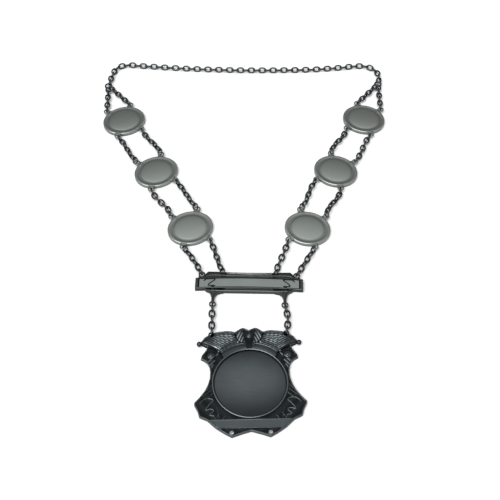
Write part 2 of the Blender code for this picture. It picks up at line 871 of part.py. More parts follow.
clear_scene()
parts = new_collection("carnival_order_medal")
cutters = new_collection("cutters")
shield_metal = metal("shield_metal", (0.12, 0.125, 0.13), 0.38)
bar_metal = metal("bar_metal", (0.32, 0.34, 0.34), 0.42)
plaque_metal = metal("plaque_metal", (0.38, 0.40, 0.39), 0.45)
chain_metal = metal("chain_metal", (0.10, 0.11, 0.115), 0.36)
clear_stone = metal("clear_stone", (0.85, 0.87, 0.88), 0.05, metallic=0.0)
dull_stone = metal("dull_stone", (0.25, 0.26, 0.27), 0.15, metallic=0.0)

link = wire_ring("link", LINK_LENGTH, LINK_WIDTH, LINK_WIRE, LINK_SIDES)
jump_ring = wire_ring("jump_ring", RING_DIAMETER, RING_DIAMETER, RING_WIRE, LINK_SIDES)
junction_ring = wire_ring(
    "junction_ring", JUNCTION_DIAMETER, JUNCTION_DIAMETER, JUNCTION_WIRE, JUNCTION_SIDES
)
strand_pieces = [link] * STRAND_LINK_COUNT + [jump_ring]
short_pieces = [link] * SHORT_STRAND_LINK_COUNT + [jump_ring]
drop_pieces = [link] * DROP_LINK_COUNT
strand_length = strand_spacing(strand_pieces)[-1]
drop_length = strand_spacing(drop_pieces)[-1] * (1 - DROP_SLACK)
shoulder_length = strand_spacing([link] * STRAND_LINK_COUNT + [junction_ring])[-2] * (1 - SHOULDER_SLACK)

# The name bar lies with its middle at the origin until everything is moved over the origin
bar_turn = Matrix.Rotation(BAR_TURN, 4, "Z")
bar_holes = {key: bar_turn @ ear.hole for key, ear in bar_ears().items()}
add_part("name_bar", bar_mesh(), bar_metal, bar_turn)

# The pendant hangs below the bar on two chains
pendant_turn = Matrix.Rotation(PENDANT_TURN, 4, "Z")
pendant_holes = {side: pendant_turn @ ear.hole for side, ear in pendant_ears().items()}
eyes = [bar_holes["eye", side] for side in (-1, 1)]
middle = hung(eyes, [pendant_holes[side] for side in (-1, 1)], pi - PENDANT_BEARING, drop_length)
pendant = Matrix.Translation(middle) @ pendant_turn
add_part("pendant_shield", shield_mesh(), shield_metal, pendant)
for name, diameter, centre in stone_places():
    lift = SEAT_FLOOR + SEAT_GAP - diameter * STONE_SECTION[-1][1]
    shade = dull_stone if name == "centre_stone" else clear_stone
    add_part(name, stone_mesh(name, diameter), shade, pendant @ Matrix.Translation((*centre, lift)))
for name, side in SIDES.items():
    start, end = bar_holes["eye", side], middle + pendant_holes[side]
    mesh = fused_chain("pendant_chain", drop_pieces, start, end, side, 90.0, 90.0)
    add_part(f"pendant_chain_{name}", mesh, chain_metal)

# Three plaques a side, each hung on the bar or on the plaque below by two strands
plaque = plaque_mesh()
junctions = {}
for side, places in PLAQUE_PLACES.items():
    out = SIDES[side]
    holes = {"outer": bar_holes["outer", out], "inner": bar_holes["inner", out]}
    for row, (bearing, turn, slack) in zip(ROWS, places):
        anchors = [holes["outer"], holes["inner"]][::-out]
        place = plaque_place(side, anchors, bearing, turn, strand_length * (1 - slack))
        add_part(f"plaque_{side}_{row}", plaque, plaque_metal, place)
        for strand, ear_side in (("outer", out), ("inner", -out)):
            upper = place @ plaque_ears()[-1, ear_side].hole
            pieces = short_pieces if (strand, row) == ("outer", "lower") else strand_pieces
            swings, first_turn, last_turn = STRAND_LAY[side, strand][ROWS.index(row)]
            if row == "upper":
                mesh = tube_chain("strand", pieces, upper, holes[strand], swings)
            else:
                mesh = fused_chain("strand", pieces, upper, holes[strand], swings, first_turn, last_turn)
            add_part(f"strand_{side}_{strand}_{row}", mesh, chain_metal)
            holes[strand] = place @ plaque_ears()[1, ear_side].hole
    lift = Vector((0.0, 0.0, CHAIN_HEIGHT))
    first, second = (holes[strand] + lift for strand in ("outer", "inner")[::-out])
    junctions[side] = apex(first, second, shoulder_length)
    shoulders = shoulder_mesh("shoulder", junctions[side], (first, second))
    add_part(f"shoulder_chains_{side}", shoulders, chain_metal)
    add_part(
        f"junction_ring_{side}", junction_ring.mesh, chain_metal, Matrix.Translation(junctions[side])
    )
add_part("neck_chain", neck_mesh(junctions["left"], junctions["right"]), chain_metal)

# The middle of the whole, seen from above, goes over the origin
corners = np.array([part.matrix_world @ vertex.co for part in parts.objects for vertex in part.data.vertices])
middle = (corners.min(axis=0) + corners.max(axis=0)) / 2
for part in parts.objects:
    part.matrix_world = Matrix.Translation((-middle[0], -middle[1], 0.0)) @ part.matrix_world
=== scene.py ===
"""The look of the carnival order: cast pendant, name bar, plaques and cable chain in old silver.

Every shape is worked out in the row's frame, in metres, from the same sizes as the solids.
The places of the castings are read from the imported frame, so the visual follows the solids.
"""

import logging
from dataclasses import dataclass
from enum import Enum
from math import atan2, cos, pi, radians, sin, tau

import bpy
import numpy as np
from mathutils import Matrix, Vector
from mathutils.geometry import tessellate_polygon

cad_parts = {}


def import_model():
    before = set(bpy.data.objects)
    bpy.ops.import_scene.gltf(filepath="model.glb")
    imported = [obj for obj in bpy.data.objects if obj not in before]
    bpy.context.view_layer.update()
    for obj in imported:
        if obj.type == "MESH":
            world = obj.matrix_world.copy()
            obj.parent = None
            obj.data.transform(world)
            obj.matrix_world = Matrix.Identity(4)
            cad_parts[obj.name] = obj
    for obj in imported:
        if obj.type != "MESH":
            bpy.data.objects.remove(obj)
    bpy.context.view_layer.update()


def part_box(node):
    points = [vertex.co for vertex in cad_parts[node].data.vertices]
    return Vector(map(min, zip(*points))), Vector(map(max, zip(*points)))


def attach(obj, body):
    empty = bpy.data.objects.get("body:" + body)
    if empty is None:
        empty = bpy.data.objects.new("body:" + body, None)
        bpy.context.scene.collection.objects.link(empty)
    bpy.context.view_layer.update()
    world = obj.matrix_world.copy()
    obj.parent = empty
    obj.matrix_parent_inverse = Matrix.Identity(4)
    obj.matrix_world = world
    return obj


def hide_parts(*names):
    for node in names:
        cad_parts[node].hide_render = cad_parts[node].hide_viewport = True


log = logging.getLogger("carnival_order")

MM = 0.001

# Lengths below this count as none.
TINY = 1e-9
# Points that are worked out on each span of a closed and of an open curve, before it is evened.
LOOP_STEPS = 16
LINE_STEPS = 24
# Points round a quarter of a rounded edge.
EDGE_STEPS = 4
BALL_RINGS = 15
BALL_SIDES = 24
# Pieces of a path that are measured at once, to save memory.
SPANS_AT_ONCE = 40
QUARTER_TURN = pi / 2
SHARP_ANGLE = radians(38.0)

Points = np.ndarray
Rows = tuple[tuple[float, ...], ...]
Colour = tuple[float, float, float]
Sockets = dict[str, str]
Holes = list[np.ndarray] | tuple[()]
Value = bpy.types.NodeSocket | float
Material = bpy.types.Material


class Side(Enum):
    """The two halves of the order, with the sign of X on each."""

    LEFT = -1
    RIGHT = 1

    @property
    def word(self) -> str:
        """The side's name as the nodes use it."""
        return self.name.lower()


class Row(Enum):
    """The rows of plaques, counted from the bar upwards."""

    LOWER = 0
    MIDDLE = 1
    UPPER = 2

    @property
    def word(self) -> str:
        """The row's name as the nodes use it."""
        return self.name.lower()


# Shapes as numbers


@dataclass
class Surface:
    """A mesh in the making.

    Attributes:
        points: Places of the vertices, one row each.
        faces: Corner numbers of the faces, as arrays of equal-sided faces.
        wear: For each vertex, 0 where the patina lies thickest and 1 where it is polished off; on the
            shield's field and caps and on the castings' walls it also holds painted reflection, highlight and
            shade.
    """

    points: Points
    faces: list[np.ndarray]
    wear: np.ndarray

    @classmethod
    def of(cls, points: Points, faces: list[np.ndarray], wear: float | np.ndarray = 0.5) -> "Surface":
        """A surface with one wear for all vertices or one for each.

        Args:
            points: Places of the vertices.
            faces: Arrays of faces.
            wear: One number, or one for each vertex.

        Returns:
            The surface.
        """
        points = np.asarray(points, float).reshape(-1, 3)
        return cls(points, faces, np.broadcast_to(wear, len(points)).astype(float))

    def moved(self, matrix: Matrix) -> "Surface":
        """The surface in another place.

        Args:
            matrix: The place, without a change of handedness.

        Returns:
            A new surface.
        """
        values = np.array(matrix)
        return Surface(self.points @ values[:3, :3].T + values[:3, 3], self.faces, self.wear)


def merged(surfaces: list[Surface]) -> Surface:
    """All the surfaces as one mesh.

    Args:
        surfaces: The surfaces, each with its own corner numbers.

    Returns:
        One surface whose faces count through all the vertices.
    """
    starts = np.cumsum([0] + [len(surface.points) for surface in surfaces[:-1]])
    faces = [face + start for surface, start in zip(surfaces, starts) for face in surface.faces]
    points = np.vstack([surface.points for surface in surfaces])
    return Surface(points, faces, np.concatenate([surface.wear for surface in surfaces]))


def grid_faces(rows: int, columns: int, close_rows: bool = False, close_columns: bool = False) -> np.ndarray:
    """The quads between the points of a grid that is listed row by row.

    Args:
        rows: Number of rows.
        columns: Number of points in a row.
        close_rows: Whether the last row joins the first.
        close_columns: Whether the end of a row joins its start.

    Returns:
        Four corner numbers for each quad.
    """
    row = np.arange(rows if close_rows else rows - 1)[:, None]
    column = np.arange(columns if close_columns else columns - 1)[None, :]
    next_row, next_column = (row + 1) % rows, (column + 1) % columns
    corners = (
        row * columns + column,
        row * columns + next_column,
        next_row * columns + next_column,
        next_row * columns + column,
    )
    return np.stack([np.broadcast_to(c, (row.size, column.size)).ravel() for c in corners], axis=1)


def turned(section: Rows | Points, sides: int, wear: float = 0.5) -> Surface:
    """A closed body of revolution about Z.

    The section is listed from the top of the axis outwards and down to the axis again, or as a
    closed loop that runs the same way round when it stays clear of the axis.

    Args:
        section: Radius and height of each point.
        sides: Number of sides round the axis.
        wear: How bright the metal is rubbed.

    Returns:
        The surface, with its normals outwards.
    """
    section = np.asarray(section, float)
    turns = tau * np.arange(sides) / sides
    on_axis = section[:, 0] < TINY
    ring = section[~on_axis]
    points = np.stack(
        [
            np.outer(ring[:, 0], np.cos(turns)),
            np.outer(ring[:, 0], np.sin(turns)),
            np.repeat(ring[:, 1:2], sides, axis=1),
        ],
        axis=-1,
    ).reshape(-1, 3)
    loop = not on_axis.any()
    faces = [grid_faces(len(ring), sides, close_rows=loop, close_columns=True)[:, ::-1]]
    if not loop:
        caps = section[on_axis]
        points = np.vstack([points, np.column_stack([np.zeros((len(caps), 2)), caps[:, 1]])])
        first, last = np.arange(sides), np.arange(sides) + (len(ring) - 1) * sides
        top, bottom = len(ring) * sides, len(ring) * sides + 1
        faces.append(np.column_stack([np.full(sides, top), first, np.roll(first, -1)]))
        faces.append(np.column_stack([np.full(sides, bottom), np.roll(last, -1), last]))
    return Surface.of(points, faces, wear)


def swept(route: Points, radius: float | np.ndarray, sides: int, closed: bool, wear: float = 0.5) -> Surface:
    """A round wire along a route that stays near one plane.

    The section's first direction is the cross product of the heading and Z, or of the heading
    and Y where the route itself runs along Z.

    Args:
        route: Points along the wire's middle.
        radius: The wire's radius, one number or one for each point.
        sides: Number of sides of the wire.
        closed: Whether the wire is a ring.
        wear: How bright the metal is rubbed.

    Returns:
        The wire's surface, closed at its ends.
    """
    if closed:
        heading = np.roll(route, -1, axis=0) - np.roll(route, 1, axis=0)
    else:
        heading = np.gradient(route, axis=0)
    heading /= np.linalg.norm(heading, axis=1, keepdims=True)
    aside = np.cross(heading, (0.0, 0.0, 1.0))
    aside /= np.linalg.norm(aside, axis=1, keepdims=True)
    up = np.cross(aside, heading)
    turns = tau * np.arange(sides) / sides
    reach = np.broadcast_to(radius, len(route))[:, None, None]
    ring = np.cos(turns)[None, :, None] * aside[:, None] + np.sin(turns)[None, :, None] * up[:, None]
    points = (route[:, None] + reach * ring).reshape(-1, 3)
    faces = [grid_faces(len(route), sides, close_rows=closed, close_columns=True)]
    if not closed:
        first, last = np.arange(sides), np.arange(sides) + (len(route) - 1) * sides
        faces.append(first[None, :][:, ::-1])
        faces.append(last[None, :])
    return Surface.of(points, faces, wear)


def spans(before: Points, start: Points, end: Points, after: Points, steps: int) -> Points:
    """Points on cubic spans whose slope at a knot is half the way between its two neighbours.

    Args:
        before: The knot before each span.
        start: The knot that it starts at.
        end: The knot that it ends at.
        after: The knot after it.
        steps: Points on each span, with its end left out.

    Returns:
        The points of all spans in order.
    """
    share = np.linspace(0.0, 1.0, steps, endpoint=False)[None, :, None]
    before, start, end, after = (knots[:, None] for knots in (before, start, end, after))
    leave, arrive = (end - before) / 2, (after - start) / 2
    span = 3 * (end - start) - 2 * leave - arrive
    bend = 2 * (start - end) + leave + arrive
    return (start + share * (leave + share * (span + share * bend))).reshape(-1, start.shape[-1])


def smooth_loop(knots: Rows | Points, count: int) -> Points:
    """A closed curve through the knots, in evenly spaced points.

    Args:
        knots: Points in the plane, in order.
        count: Number of points to return.

    Returns:
        Points in the plane.
    """
    knots = np.asarray(knots, float)
    fine = spans(*(np.roll(knots, back, axis=0) for back in (1, 0, -1, -2)), LOOP_STEPS)
    return evenly(np.vstack([fine, fine[:1]]), count + 1)[:-1]


def smooth_line(knots: Rows | Points, count: int) -> Points:
    """An open curve through the knots, in evenly spaced points.

    Args:
        knots: Points in the plane or in space, in order.
        count: Number of points to return.

    Returns:
        The points, with both ends kept.
    """
    knots = np.asarray(knots, float)
    whole = np.vstack([2 * knots[:1] - knots[1:2], knots, 2 * knots[-1:] - knots[-2:-1]])
    fine = spans(*(whole[at : len(whole) - 3 + at] for at in range(4)), LINE_STEPS)
    return evenly(np.vstack([fine, knots[-1:]]), count)


def walked(path: Points) -> np.ndarray:
    """The distance along a path at each of its points.

    Args:
        path: Points in order.

    Returns:
        Distances that start at zero.
    """
    return np.concatenate(([0.0], np.cumsum(np.linalg.norm(np.diff(path, axis=0), axis=1))))


def places_at(distances: np.ndarray, path: Points) -> Points:
    """The places at some distances along a path.

    Args:
        distances: Distances from its start.
        path: Points in order.

    Returns:
        One place for each distance.
    """
    way = walked(path)
    return np.column_stack([np.interp(distances, way, column) for column in path.T])


def evenly(path: Points, count: int) -> Points:
    """The path in evenly spaced points.

    Args:
        path: Points in order.
        count: Number of points to return.

    Returns:
        The points, with both ends kept.
    """
    return places_at(np.linspace(0.0, walked(path)[-1], count), path)


def lifted(places: Points, height: float | np.ndarray) -> Points:
    """Places in the plane as points in space.

    Args:
        places: The places.
        height: Their height, one number or one for each.

    Returns:
        The points.
    """
    return np.column_stack([places, np.broadcast_to(height, len(places))])


def mirrored(half: Rows | Points) -> Points:
    """A closed outline from its right half, listed from the top down.

    Args:
        half: Points with X at or right of the middle line.

    Returns:
        The points of both halves.
    """
    half = np.asarray(half, float)
    other = half[::-1][half[::-1, 0] > TINY] * (-1.0, 1.0)
    return np.vstack([half, other])


def mirrored_line(half: Rows | Points) -> Points:
    """An open line from its right half, listed from the middle outwards.

    Args:
        half: Points from the middle line to the right end.

    Returns:
        The points from the left end to the right one.
    """
    half = np.asarray(half, float)
    return np.vstack([half[:0:-1] * (-1.0, 1.0), half])


def distance_to(path: Points, points: Points, closed: bool = False) -> np.ndarray:
    """How far each point is from a path.

    The nearest place on each straight piece is found from the share of the way along it, held
    between its ends.

    Args:
        path: Points of the path in the plane.
        points: Places in the plane.
        closed: Whether the path's end joins its start.

    Returns:
        One distance for each place.
    """
    ends = np.roll(path, -1, axis=0) if closed else path[1:]
    starts = path if closed else path[:-1]
    nearest = np.full(len(points), np.inf)
    for block in np.array_split(np.arange(len(starts)), max(1, len(starts) // SPANS_AT_ONCE)):
        ahead = ends[block] - starts[block]
        away = points[:, None] - starts[block][None]
        share = np.clip((away * ahead).sum(-1) / np.maximum((ahead**2).sum(-1), TINY**2), 0.0, 1.0)
        left = np.linalg.norm(away - share[..., None] * ahead, axis=-1).min(axis=1)
        nearest = np.minimum(nearest, left)
    return nearest


def within(outline: Points, points: Points) -> np.ndarray:
    """Whether each point lies inside a closed outline, by counting the sides to its right.

    Args:
        outline: Points of the outline in the plane.
        points: Places in the plane.

    Returns:
        True for each place inside.
    """
    x, y = points[:, 0][:, None], points[:, 1][:, None]
    ends = np.roll(outline, -1, axis=0)
    low, high = outline[:, 1][None], ends[:, 1][None]
    crosses = (low > y) != (high > y)
    rise = np.where(high == low, 1.0, high - low)
    meets = outline[:, 0][None] + (y - low) / rise * (ends[:, 0] - outline[:, 0])[None]
    return (crosses & (x < meets)).sum(axis=1) % 2 == 1


def depth_inside(outline: Points, points: Points) -> np.ndarray:
    """How deep each point lies inside an outline, negative outside.

    Args:
        outline: Points of the closed outline.
        points: Places in the plane.

    Returns:
        One signed distance for each place.
    """
    distance = distance_to(outline, points, closed=True)
    return np.where(within(outline, points), distance, -distance)


def soft_step(value: np.ndarray, start: float, end: float) -> np.ndarray:
    """A smooth rise from 0 to 1 while the value goes from start to end.

    Args:
        value: What is compared.
        start: Where the rise begins.
        end: Where it ends.

    Returns:
        Numbers between 0 and 1.
    """
    share = np.clip((value - start) / (end - start), 0.0, 1.0)
    return share * share * (3.0 - 2.0 * share)


def dome(distance: np.ndarray, reach: float | np.ndarray) -> np.ndarray:
    """The height of a round ridge: 1 on its line, and 0 at its reach and beyond.

    Args:
        distance: Distance from the ridge's line.
        reach: Half the ridge's width.

    Returns:
        Numbers between 0 and 1.
    """
    return np.sqrt(np.clip(1.0 - (distance / reach) ** 2, 0.0, 1.0))


def waves(way: np.ndarray, pitch: float | np.ndarray, shift: float | np.ndarray = 0.0) -> np.ndarray:
    """A sine that is moved and halved to run between 0 and 1.

    Args:
        way: The distance that it runs along.
        pitch: From one crest to the next.
        shift: What is added to its angle, in radians.

    Returns:
        Numbers between 0 and 1.
    """
    return 0.5 + 0.5 * np.sin(tau * way / pitch + shift)


def plate(
    outline: Points, bottom: float, top: float, edge: float, wear: float, holes: Holes = ()
) -> Surface:
    """A flat outline with rounded edges between two heights, pierced where holes are given.

    Rows of points run round the outline: up its wall, and over a quarter-round edge that moves
    each point inwards against the outline's normal.

    Args:
        outline: Points of the outline, in either direction.
        bottom: Height of the under side.
        top: Height of the face.
        edge: Radius of the rounded edge.
        wear: How bright the metal is rubbed.
        holes: Points of each hole.

    Returns:
        The closed plate.
    """
    if turning(outline) < 0:
        outline = outline[::-1]
    along = np.roll(outline, -1, axis=0) - np.roll(outline, 1, axis=0)
    along /= np.maximum(np.linalg.norm(along, axis=1, keepdims=True), TINY)
    outward = np.column_stack([along[:, 1], -along[:, 0]])
    steps = np.linspace(0.0, QUARTER_TURN, EDGE_STEPS)
    insets = np.concatenate([[0.0], edge * (1 - np.cos(steps))])
    heights = np.concatenate([[bottom], top - edge * (1 - np.sin(steps))])
    loops = outline[None] - insets[:, None, None] * outward[None]
    count, rows = len(outline), len(insets)
    points = [lifted(loops.reshape(-1, 2), np.repeat(heights, count))]
    faces = [grid_faces(rows, count, close_columns=True)]
    lows, highs = [np.arange(count)], [np.arange(count) + (rows - 1) * count]
    used = rows * count
    for hole in holes:
        hole = hole if turning(hole) > 0 else hole[::-1]
        size = len(hole)
        points += [lifted(hole, height) for height in (bottom, top)]
        faces.append(grid_faces(2, size, close_columns=True)[:, ::-1] + used)
        lows.append(np.arange(size) + used)
        highs.append(np.arange(size) + used + size)
        used += 2 * size
    points = np.vstack(points)
    faces += [filled(points, lows)[:, ::-1], filled(points, highs)]
    return Surface.of(points, faces, wear)


def turning(outline: Points) -> float:
    """Twice the outline's area, positive where it runs against the clock.

    Args:
        outline: Points in the plane.

    Returns:
        The signed number.
    """
    ahead = np.roll(outline, -1, axis=0)
    return float(np.sum(outline[:, 0] * ahead[:, 1] - ahead[:, 0] * outline[:, 1]))


def filled(points: Points, loops: list[np.ndarray]) -> np.ndarray:
    """The triangles between an outline and its holes, seen from above against the clock.

    Args:
        points: Places of all vertices.
        loops: Corner numbers of the outline and of each hole.

    Returns:
        Three corner numbers for each triangle.
    """
    numbers = np.concatenate(loops)
    found = tessellate_polygon([[Vector((*points[at, :2], 0.0)) for at in loop] for loop in loops])
    corners = numbers[np.array(found)]
    a, b, c = (points[corners[:, at], :2] for at in range(3))
    area = (b[:, 0] - a[:, 0]) * (c[:, 1] - a[:, 1]) - (b[:, 1] - a[:, 1]) * (c[:, 0] - a[:, 0])
    return np.where(area[:, None] > 0, corners, corners[:, ::-1])


def evenly_closed(outline: Points, count: int) -> Points:
    """A closed outline in about evenly spaced points that keep its own corners.

    Each side is cut into equal pieces, as many as its share of the whole way gives.

    Args:
        outline: Points in the plane.
        count: About how many points to return.

    Returns:
        Points in the plane.
    """
    ends = np.roll(outline, -1, axis=0)
    sizes = np.linalg.norm(ends - outline, axis=1)
    pieces = np.maximum(1, np.round(count * sizes / sizes.sum()).astype(int))
    side = np.repeat(np.arange(len(outline)), pieces)
    share = (np.arange(len(side)) - np.repeat(np.cumsum(pieces) - pieces, pieces)) / pieces[side]
    return outline[side] + (ends - outline)[side] * share[:, None]


def ball(radius: float, centre: tuple[float, float, float], wear: float) -> Surface:
    """A ball.

    Args:
        radius: Its radius.
        centre: Its middle.
        wear: How bright the metal is rubbed.

    Returns:
        The ball's surface.
    """
    turns = np.linspace(0.0, pi, BALL_RINGS)
    section = np.column_stack([radius * np.sin(turns), radius * np.cos(turns)])
    section[[0, -1], 0] = 0.0
    return turned(section, BALL_SIDES, wear).moved(Matrix.Translation(centre))


# Cable chain


@dataclass(frozen=True)
class Wire:
    """One closed ring of wire: a link, a jump ring or a junction ring.

    Attributes:
        length: Outer length.
        width: Outer width.
        wire: Diameter of the wire.
    """

    length: float
    width: float
    wire: float

    @property
    def half(self) -> float:
        """Distance from the middle to the wire's middle at an end."""
        return (self.length - self.wire) / 2

    @property
    def inner(self) -> float:
        """Distance from the middle to the inside of the wire at an end, in the solids."""
        section = self.wire / 2 * np.sqrt(tau / (SOLID_WIRE_SIDES * sin(tau / SOLID_WIRE_SIDES)))
        return self.half - section * cos(pi / SOLID_WIRE_SIDES)

    def surface(self, around: int = 32, sides: int = 10) -> Surface:
        """The ring round the origin, flat, with its length along X.

        The middle line is a stadium whose ends are softened: a circle that is pulled apart
        along X in proportion to a smooth function of the cosine.

        Args:
            around: Points along the ring.
            sides: Sides of the wire.

        Returns:
            The ring's surface.
        """
        turns = tau * (np.arange(around) + 0.5) / around
        radius = (self.width - self.wire) / 2
        stretch = (self.length - self.width) / 2
        route = np.column_stack(
            [
                radius * np.cos(turns) + stretch * np.tanh(FULLNESS * np.cos(turns)) / np.tanh(FULLNESS),
                radius * np.sin(turns),
                np.zeros(around),
            ]
        )
        return swept(route, self.wire / 2 * PLUMPNESS, sides, closed=True)


# The solids' wire: its sides, and how deep one link bites into the next.
SOLID_WIRE_SIDES = 5
BITE = 0.12 * MM
# From the middle of a hole to the middle of the wire in it.
HOLE_PLAY = 0.25 * MM
LINK = Wire(6.8 * MM, 4.9 * MM, 1.2 * MM)
JUMP_RING = Wire(6.0 * MM, 6.0 * MM, 1.0 * MM)
JUNCTION_RING = Wire(6.4 * MM, 6.4 * MM, 1.2 * MM)
# Height of the middle of the hanging chains.
CHAIN_HEIGHT = 2.7 * MM
# How much of a strand's sideways swing is left, and the wire's thickness beside the solids'.
SWING_SHARE = 0.35
PLUMPNESS = 1.10
# How square the ends of a link are.
FULLNESS = 1.3
STRAND_LINKS = 6
SHORT_STRAND_LINKS = 5
DROP_LINKS = 5
DROP_TURN = 90.0
ROUTE_POINTS = 241
HALVINGS = 40


def spacing(pieces: list[Wire]) -> np.ndarray:
    """Distances from the first hole to each piece of a strand, and last to the other hole.

    Args:
        pieces: The links and rings in order.

    Returns:
        One distance more than there are pieces.
    """
    inner = np.array([piece.inner for piece in pieces])
    steps = inner[:-1] + inner[1:] + BITE
    middles = HOLE_PLAY + pieces[0].half + np.concatenate(([0.0], np.cumsum(steps)))
    return np.append(middles, middles[-1] + pieces[-1].half + HOLE_PLAY)


def along(start: Vector, end: Vector, length: float, swings: int) -> Points:
    """A flat route of the given length between two points, swinging evenly to both sides.

    The side step is a sine of the share of the way, and its reach is found by halving.

    Args:
        start: Where the route begins.
        end: Where it ends.
        length: How long it is.
        swings: Half waves of the sine, negative to begin on the other side.

    Returns:
        Points in the plane.
    """
    first, last = np.array(start[:2]), np.array(end[:2])
    ahead = last - first
    aside = np.array((-ahead[1], ahead[0])) / np.linalg.norm(ahead)
    share = np.linspace(0.0, 1.0, ROUTE_POINTS)
    low, high = 0.0, length
    for _ in range(HALVINGS):
        reach = (low + high) / 2
        route = first + np.outer(share, ahead) + np.outer(reach * np.sin(pi * swings * share), aside)
        low, high = (reach, high) if walked(route)[-1] < length else (low, reach)
    return route


def placed_rings(pieces: list[Wire], places: Points, headings: np.ndarray, rolls: np.ndarray) -> Surface:
    """The rings of a chain, each at its place.

    A ring at roll 0 lies flat. The roll turns it about the chain's direction.

    Args:
        pieces: The rings.
        places: Where their middles are.
        headings: The chain's direction at each, as an angle about Z.
        rolls: The roll of each, in radians.

    Returns:
        All rings as one surface.
    """
    found = []
    for piece, place, heading, roll in zip(pieces, places, headings, rolls):
        matrix = Matrix.Rotation(heading, 4, "Z") @ Matrix.Rotation(-roll, 4, "X")
        found.append(piece.surface().moved(Matrix.Translation(place) @ matrix))
    return merged(found)


@dataclass(frozen=True)
class Strand:
    """Links, and mostly a jump ring, between two holes.

    Attributes:
        pieces: The rings from the upper hole to the lower one.
        start: The upper hole.
        end: The lower hole.
        swings: Half waves of the route.
        first_turn: Roll of the first ring in degrees.
        last_turn: Roll of the last ring in degrees.
    """

    pieces: list[Wire]
    start: Vector
    end: Vector
    swings: int
    first_turn: float
    last_turn: float

    def surface(self) -> Surface:
        """The strand's rings, each about a quarter turn on from the last.

        Part of the slack is taken up sideways, and the rest by links that slide together.

        Returns:
            One surface.
        """
        distances = spacing(self.pieces)
        route = along(self.start, self.end, distances[-1], self.swings)
        straight = np.linspace(route[0], route[-1], len(route))
        route = straight + SWING_SHARE * (route - straight)
        way = walked(route)
        distances = distances * way[-1] / distances[-1]
        tangents = np.gradient(route, way, axis=0)
        slopes = [np.interp(distances[:-1], way, column) for column in tangents.T]
        steps = len(self.pieces) - 1
        rest = self.last_turn - self.first_turn
        half_turns = round((90.0 * steps - rest) / 180.0)
        twist = (rest + 180.0 * half_turns) / steps
        rolls = np.radians(self.first_turn + twist * np.arange(len(self.pieces)))
        places = lifted(places_at(distances[:-1], route), CHAIN_HEIGHT)
        return placed_rings(self.pieces, places, np.arctan2(slopes[1], slopes[0]), rolls)


def unit(way: np.ndarray) -> np.ndarray:
    """The direction of a vector.

    Args:
        way: The vector.

    Returns:
        The same way with length 1.
    """
    return way / np.linalg.norm(way)


# Where everything lies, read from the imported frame


def middle_of(node: str) -> Vector:
    """The middle of a solid's box.

    Args:
        node: The solid's name.

    Returns:
        A point in the row's frame.
    """
    low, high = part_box(node)
    return (low + high) / 2


def flat(point: Vector) -> Vector:
    """The point on the floor below another.

    Args:
        point: Any point.

    Returns:
        The same point with Z at 0.
    """
    return Vector((point.x, point.y, 0.0))


@dataclass(frozen=True)
class Ears:
    """Pierced ears of a casting.

    Attributes:
        hole: Radius of the hole.
        wall: Metal round the hole.
        thickness: Thickness of the ear.
        edge: Radius of its rounded edges.
        neck_edge: Radius of the neck's edges.
        neck_drop: How far the neck's top lies under the ear's.
        sides: Number of sides of the ear.
    """

    hole: float = 1.5 * MM
    wall: float = 0.95 * MM
    thickness: float = 0.9 * MM
    edge: float = 0.22 * MM
    neck_edge: float = 0.1 * MM
    neck_drop: float = 0.02 * MM
    sides: int = 36

    @property
    def radius(self) -> float:
        """The ear's outer radius."""
        return self.hole + self.wall

    @property
    def bottom(self) -> float:
        """Height of the ear's under side."""
        return CHAIN_HEIGHT - self.thickness / 2

    @property
    def top(self) -> float:
        """Height of the ear's upper side."""
        return CHAIN_HEIGHT + self.thickness / 2

    def surface(self, hole: Vector, outward: Vector, neck: float, width: float, wear: float) -> Surface:
        """A pierced disc, and the neck that joins it to its casting.

        The disc is a ring of revolution with rounded edges. The neck is a block that stops
        short of the hole.

        Args:
            hole: Middle of the hole.
            outward: Direction away from the casting.
            neck: How far the neck reaches back from the hole.
            width: Width of the neck.
            wear: How bright the metal is rubbed.

        Returns:
            The ear.
        """
        turns = np.linspace(0.0, QUARTER_TURN, EDGE_STEPS)
        drop = self.top - self.edge * (1 - np.cos(turns))
        outer = np.column_stack([self.radius - self.edge * (1 - np.sin(turns)), drop])
        inner = np.column_stack([self.hole + self.edge * (1 - np.sin(turns)), drop])
        upper = np.vstack([inner[::-1], outer])
        lower = upper[::-1] * (1.0, -1.0) + (0.0, 2 * CHAIN_HEIGHT)
        disc = turned(np.vstack([upper, lower]), self.sides, wear).moved(Matrix.Translation(flat(hole)))
        start, end, reach = -neck, -self.hole - self.wall / 3, width / 2
        corners = np.array(((start, -reach), (end, -reach), (end, reach), (start, reach)))
        block = plate(corners, self.bottom, self.top - self.neck_drop, self.neck_edge, wear)
        turn = Matrix.Rotation(atan2(outward.y, outward.x), 4, "Z")
        return merged([disc, block.moved(Matrix.Translation(flat(hole)) @ turn)])


EARS = Ears()


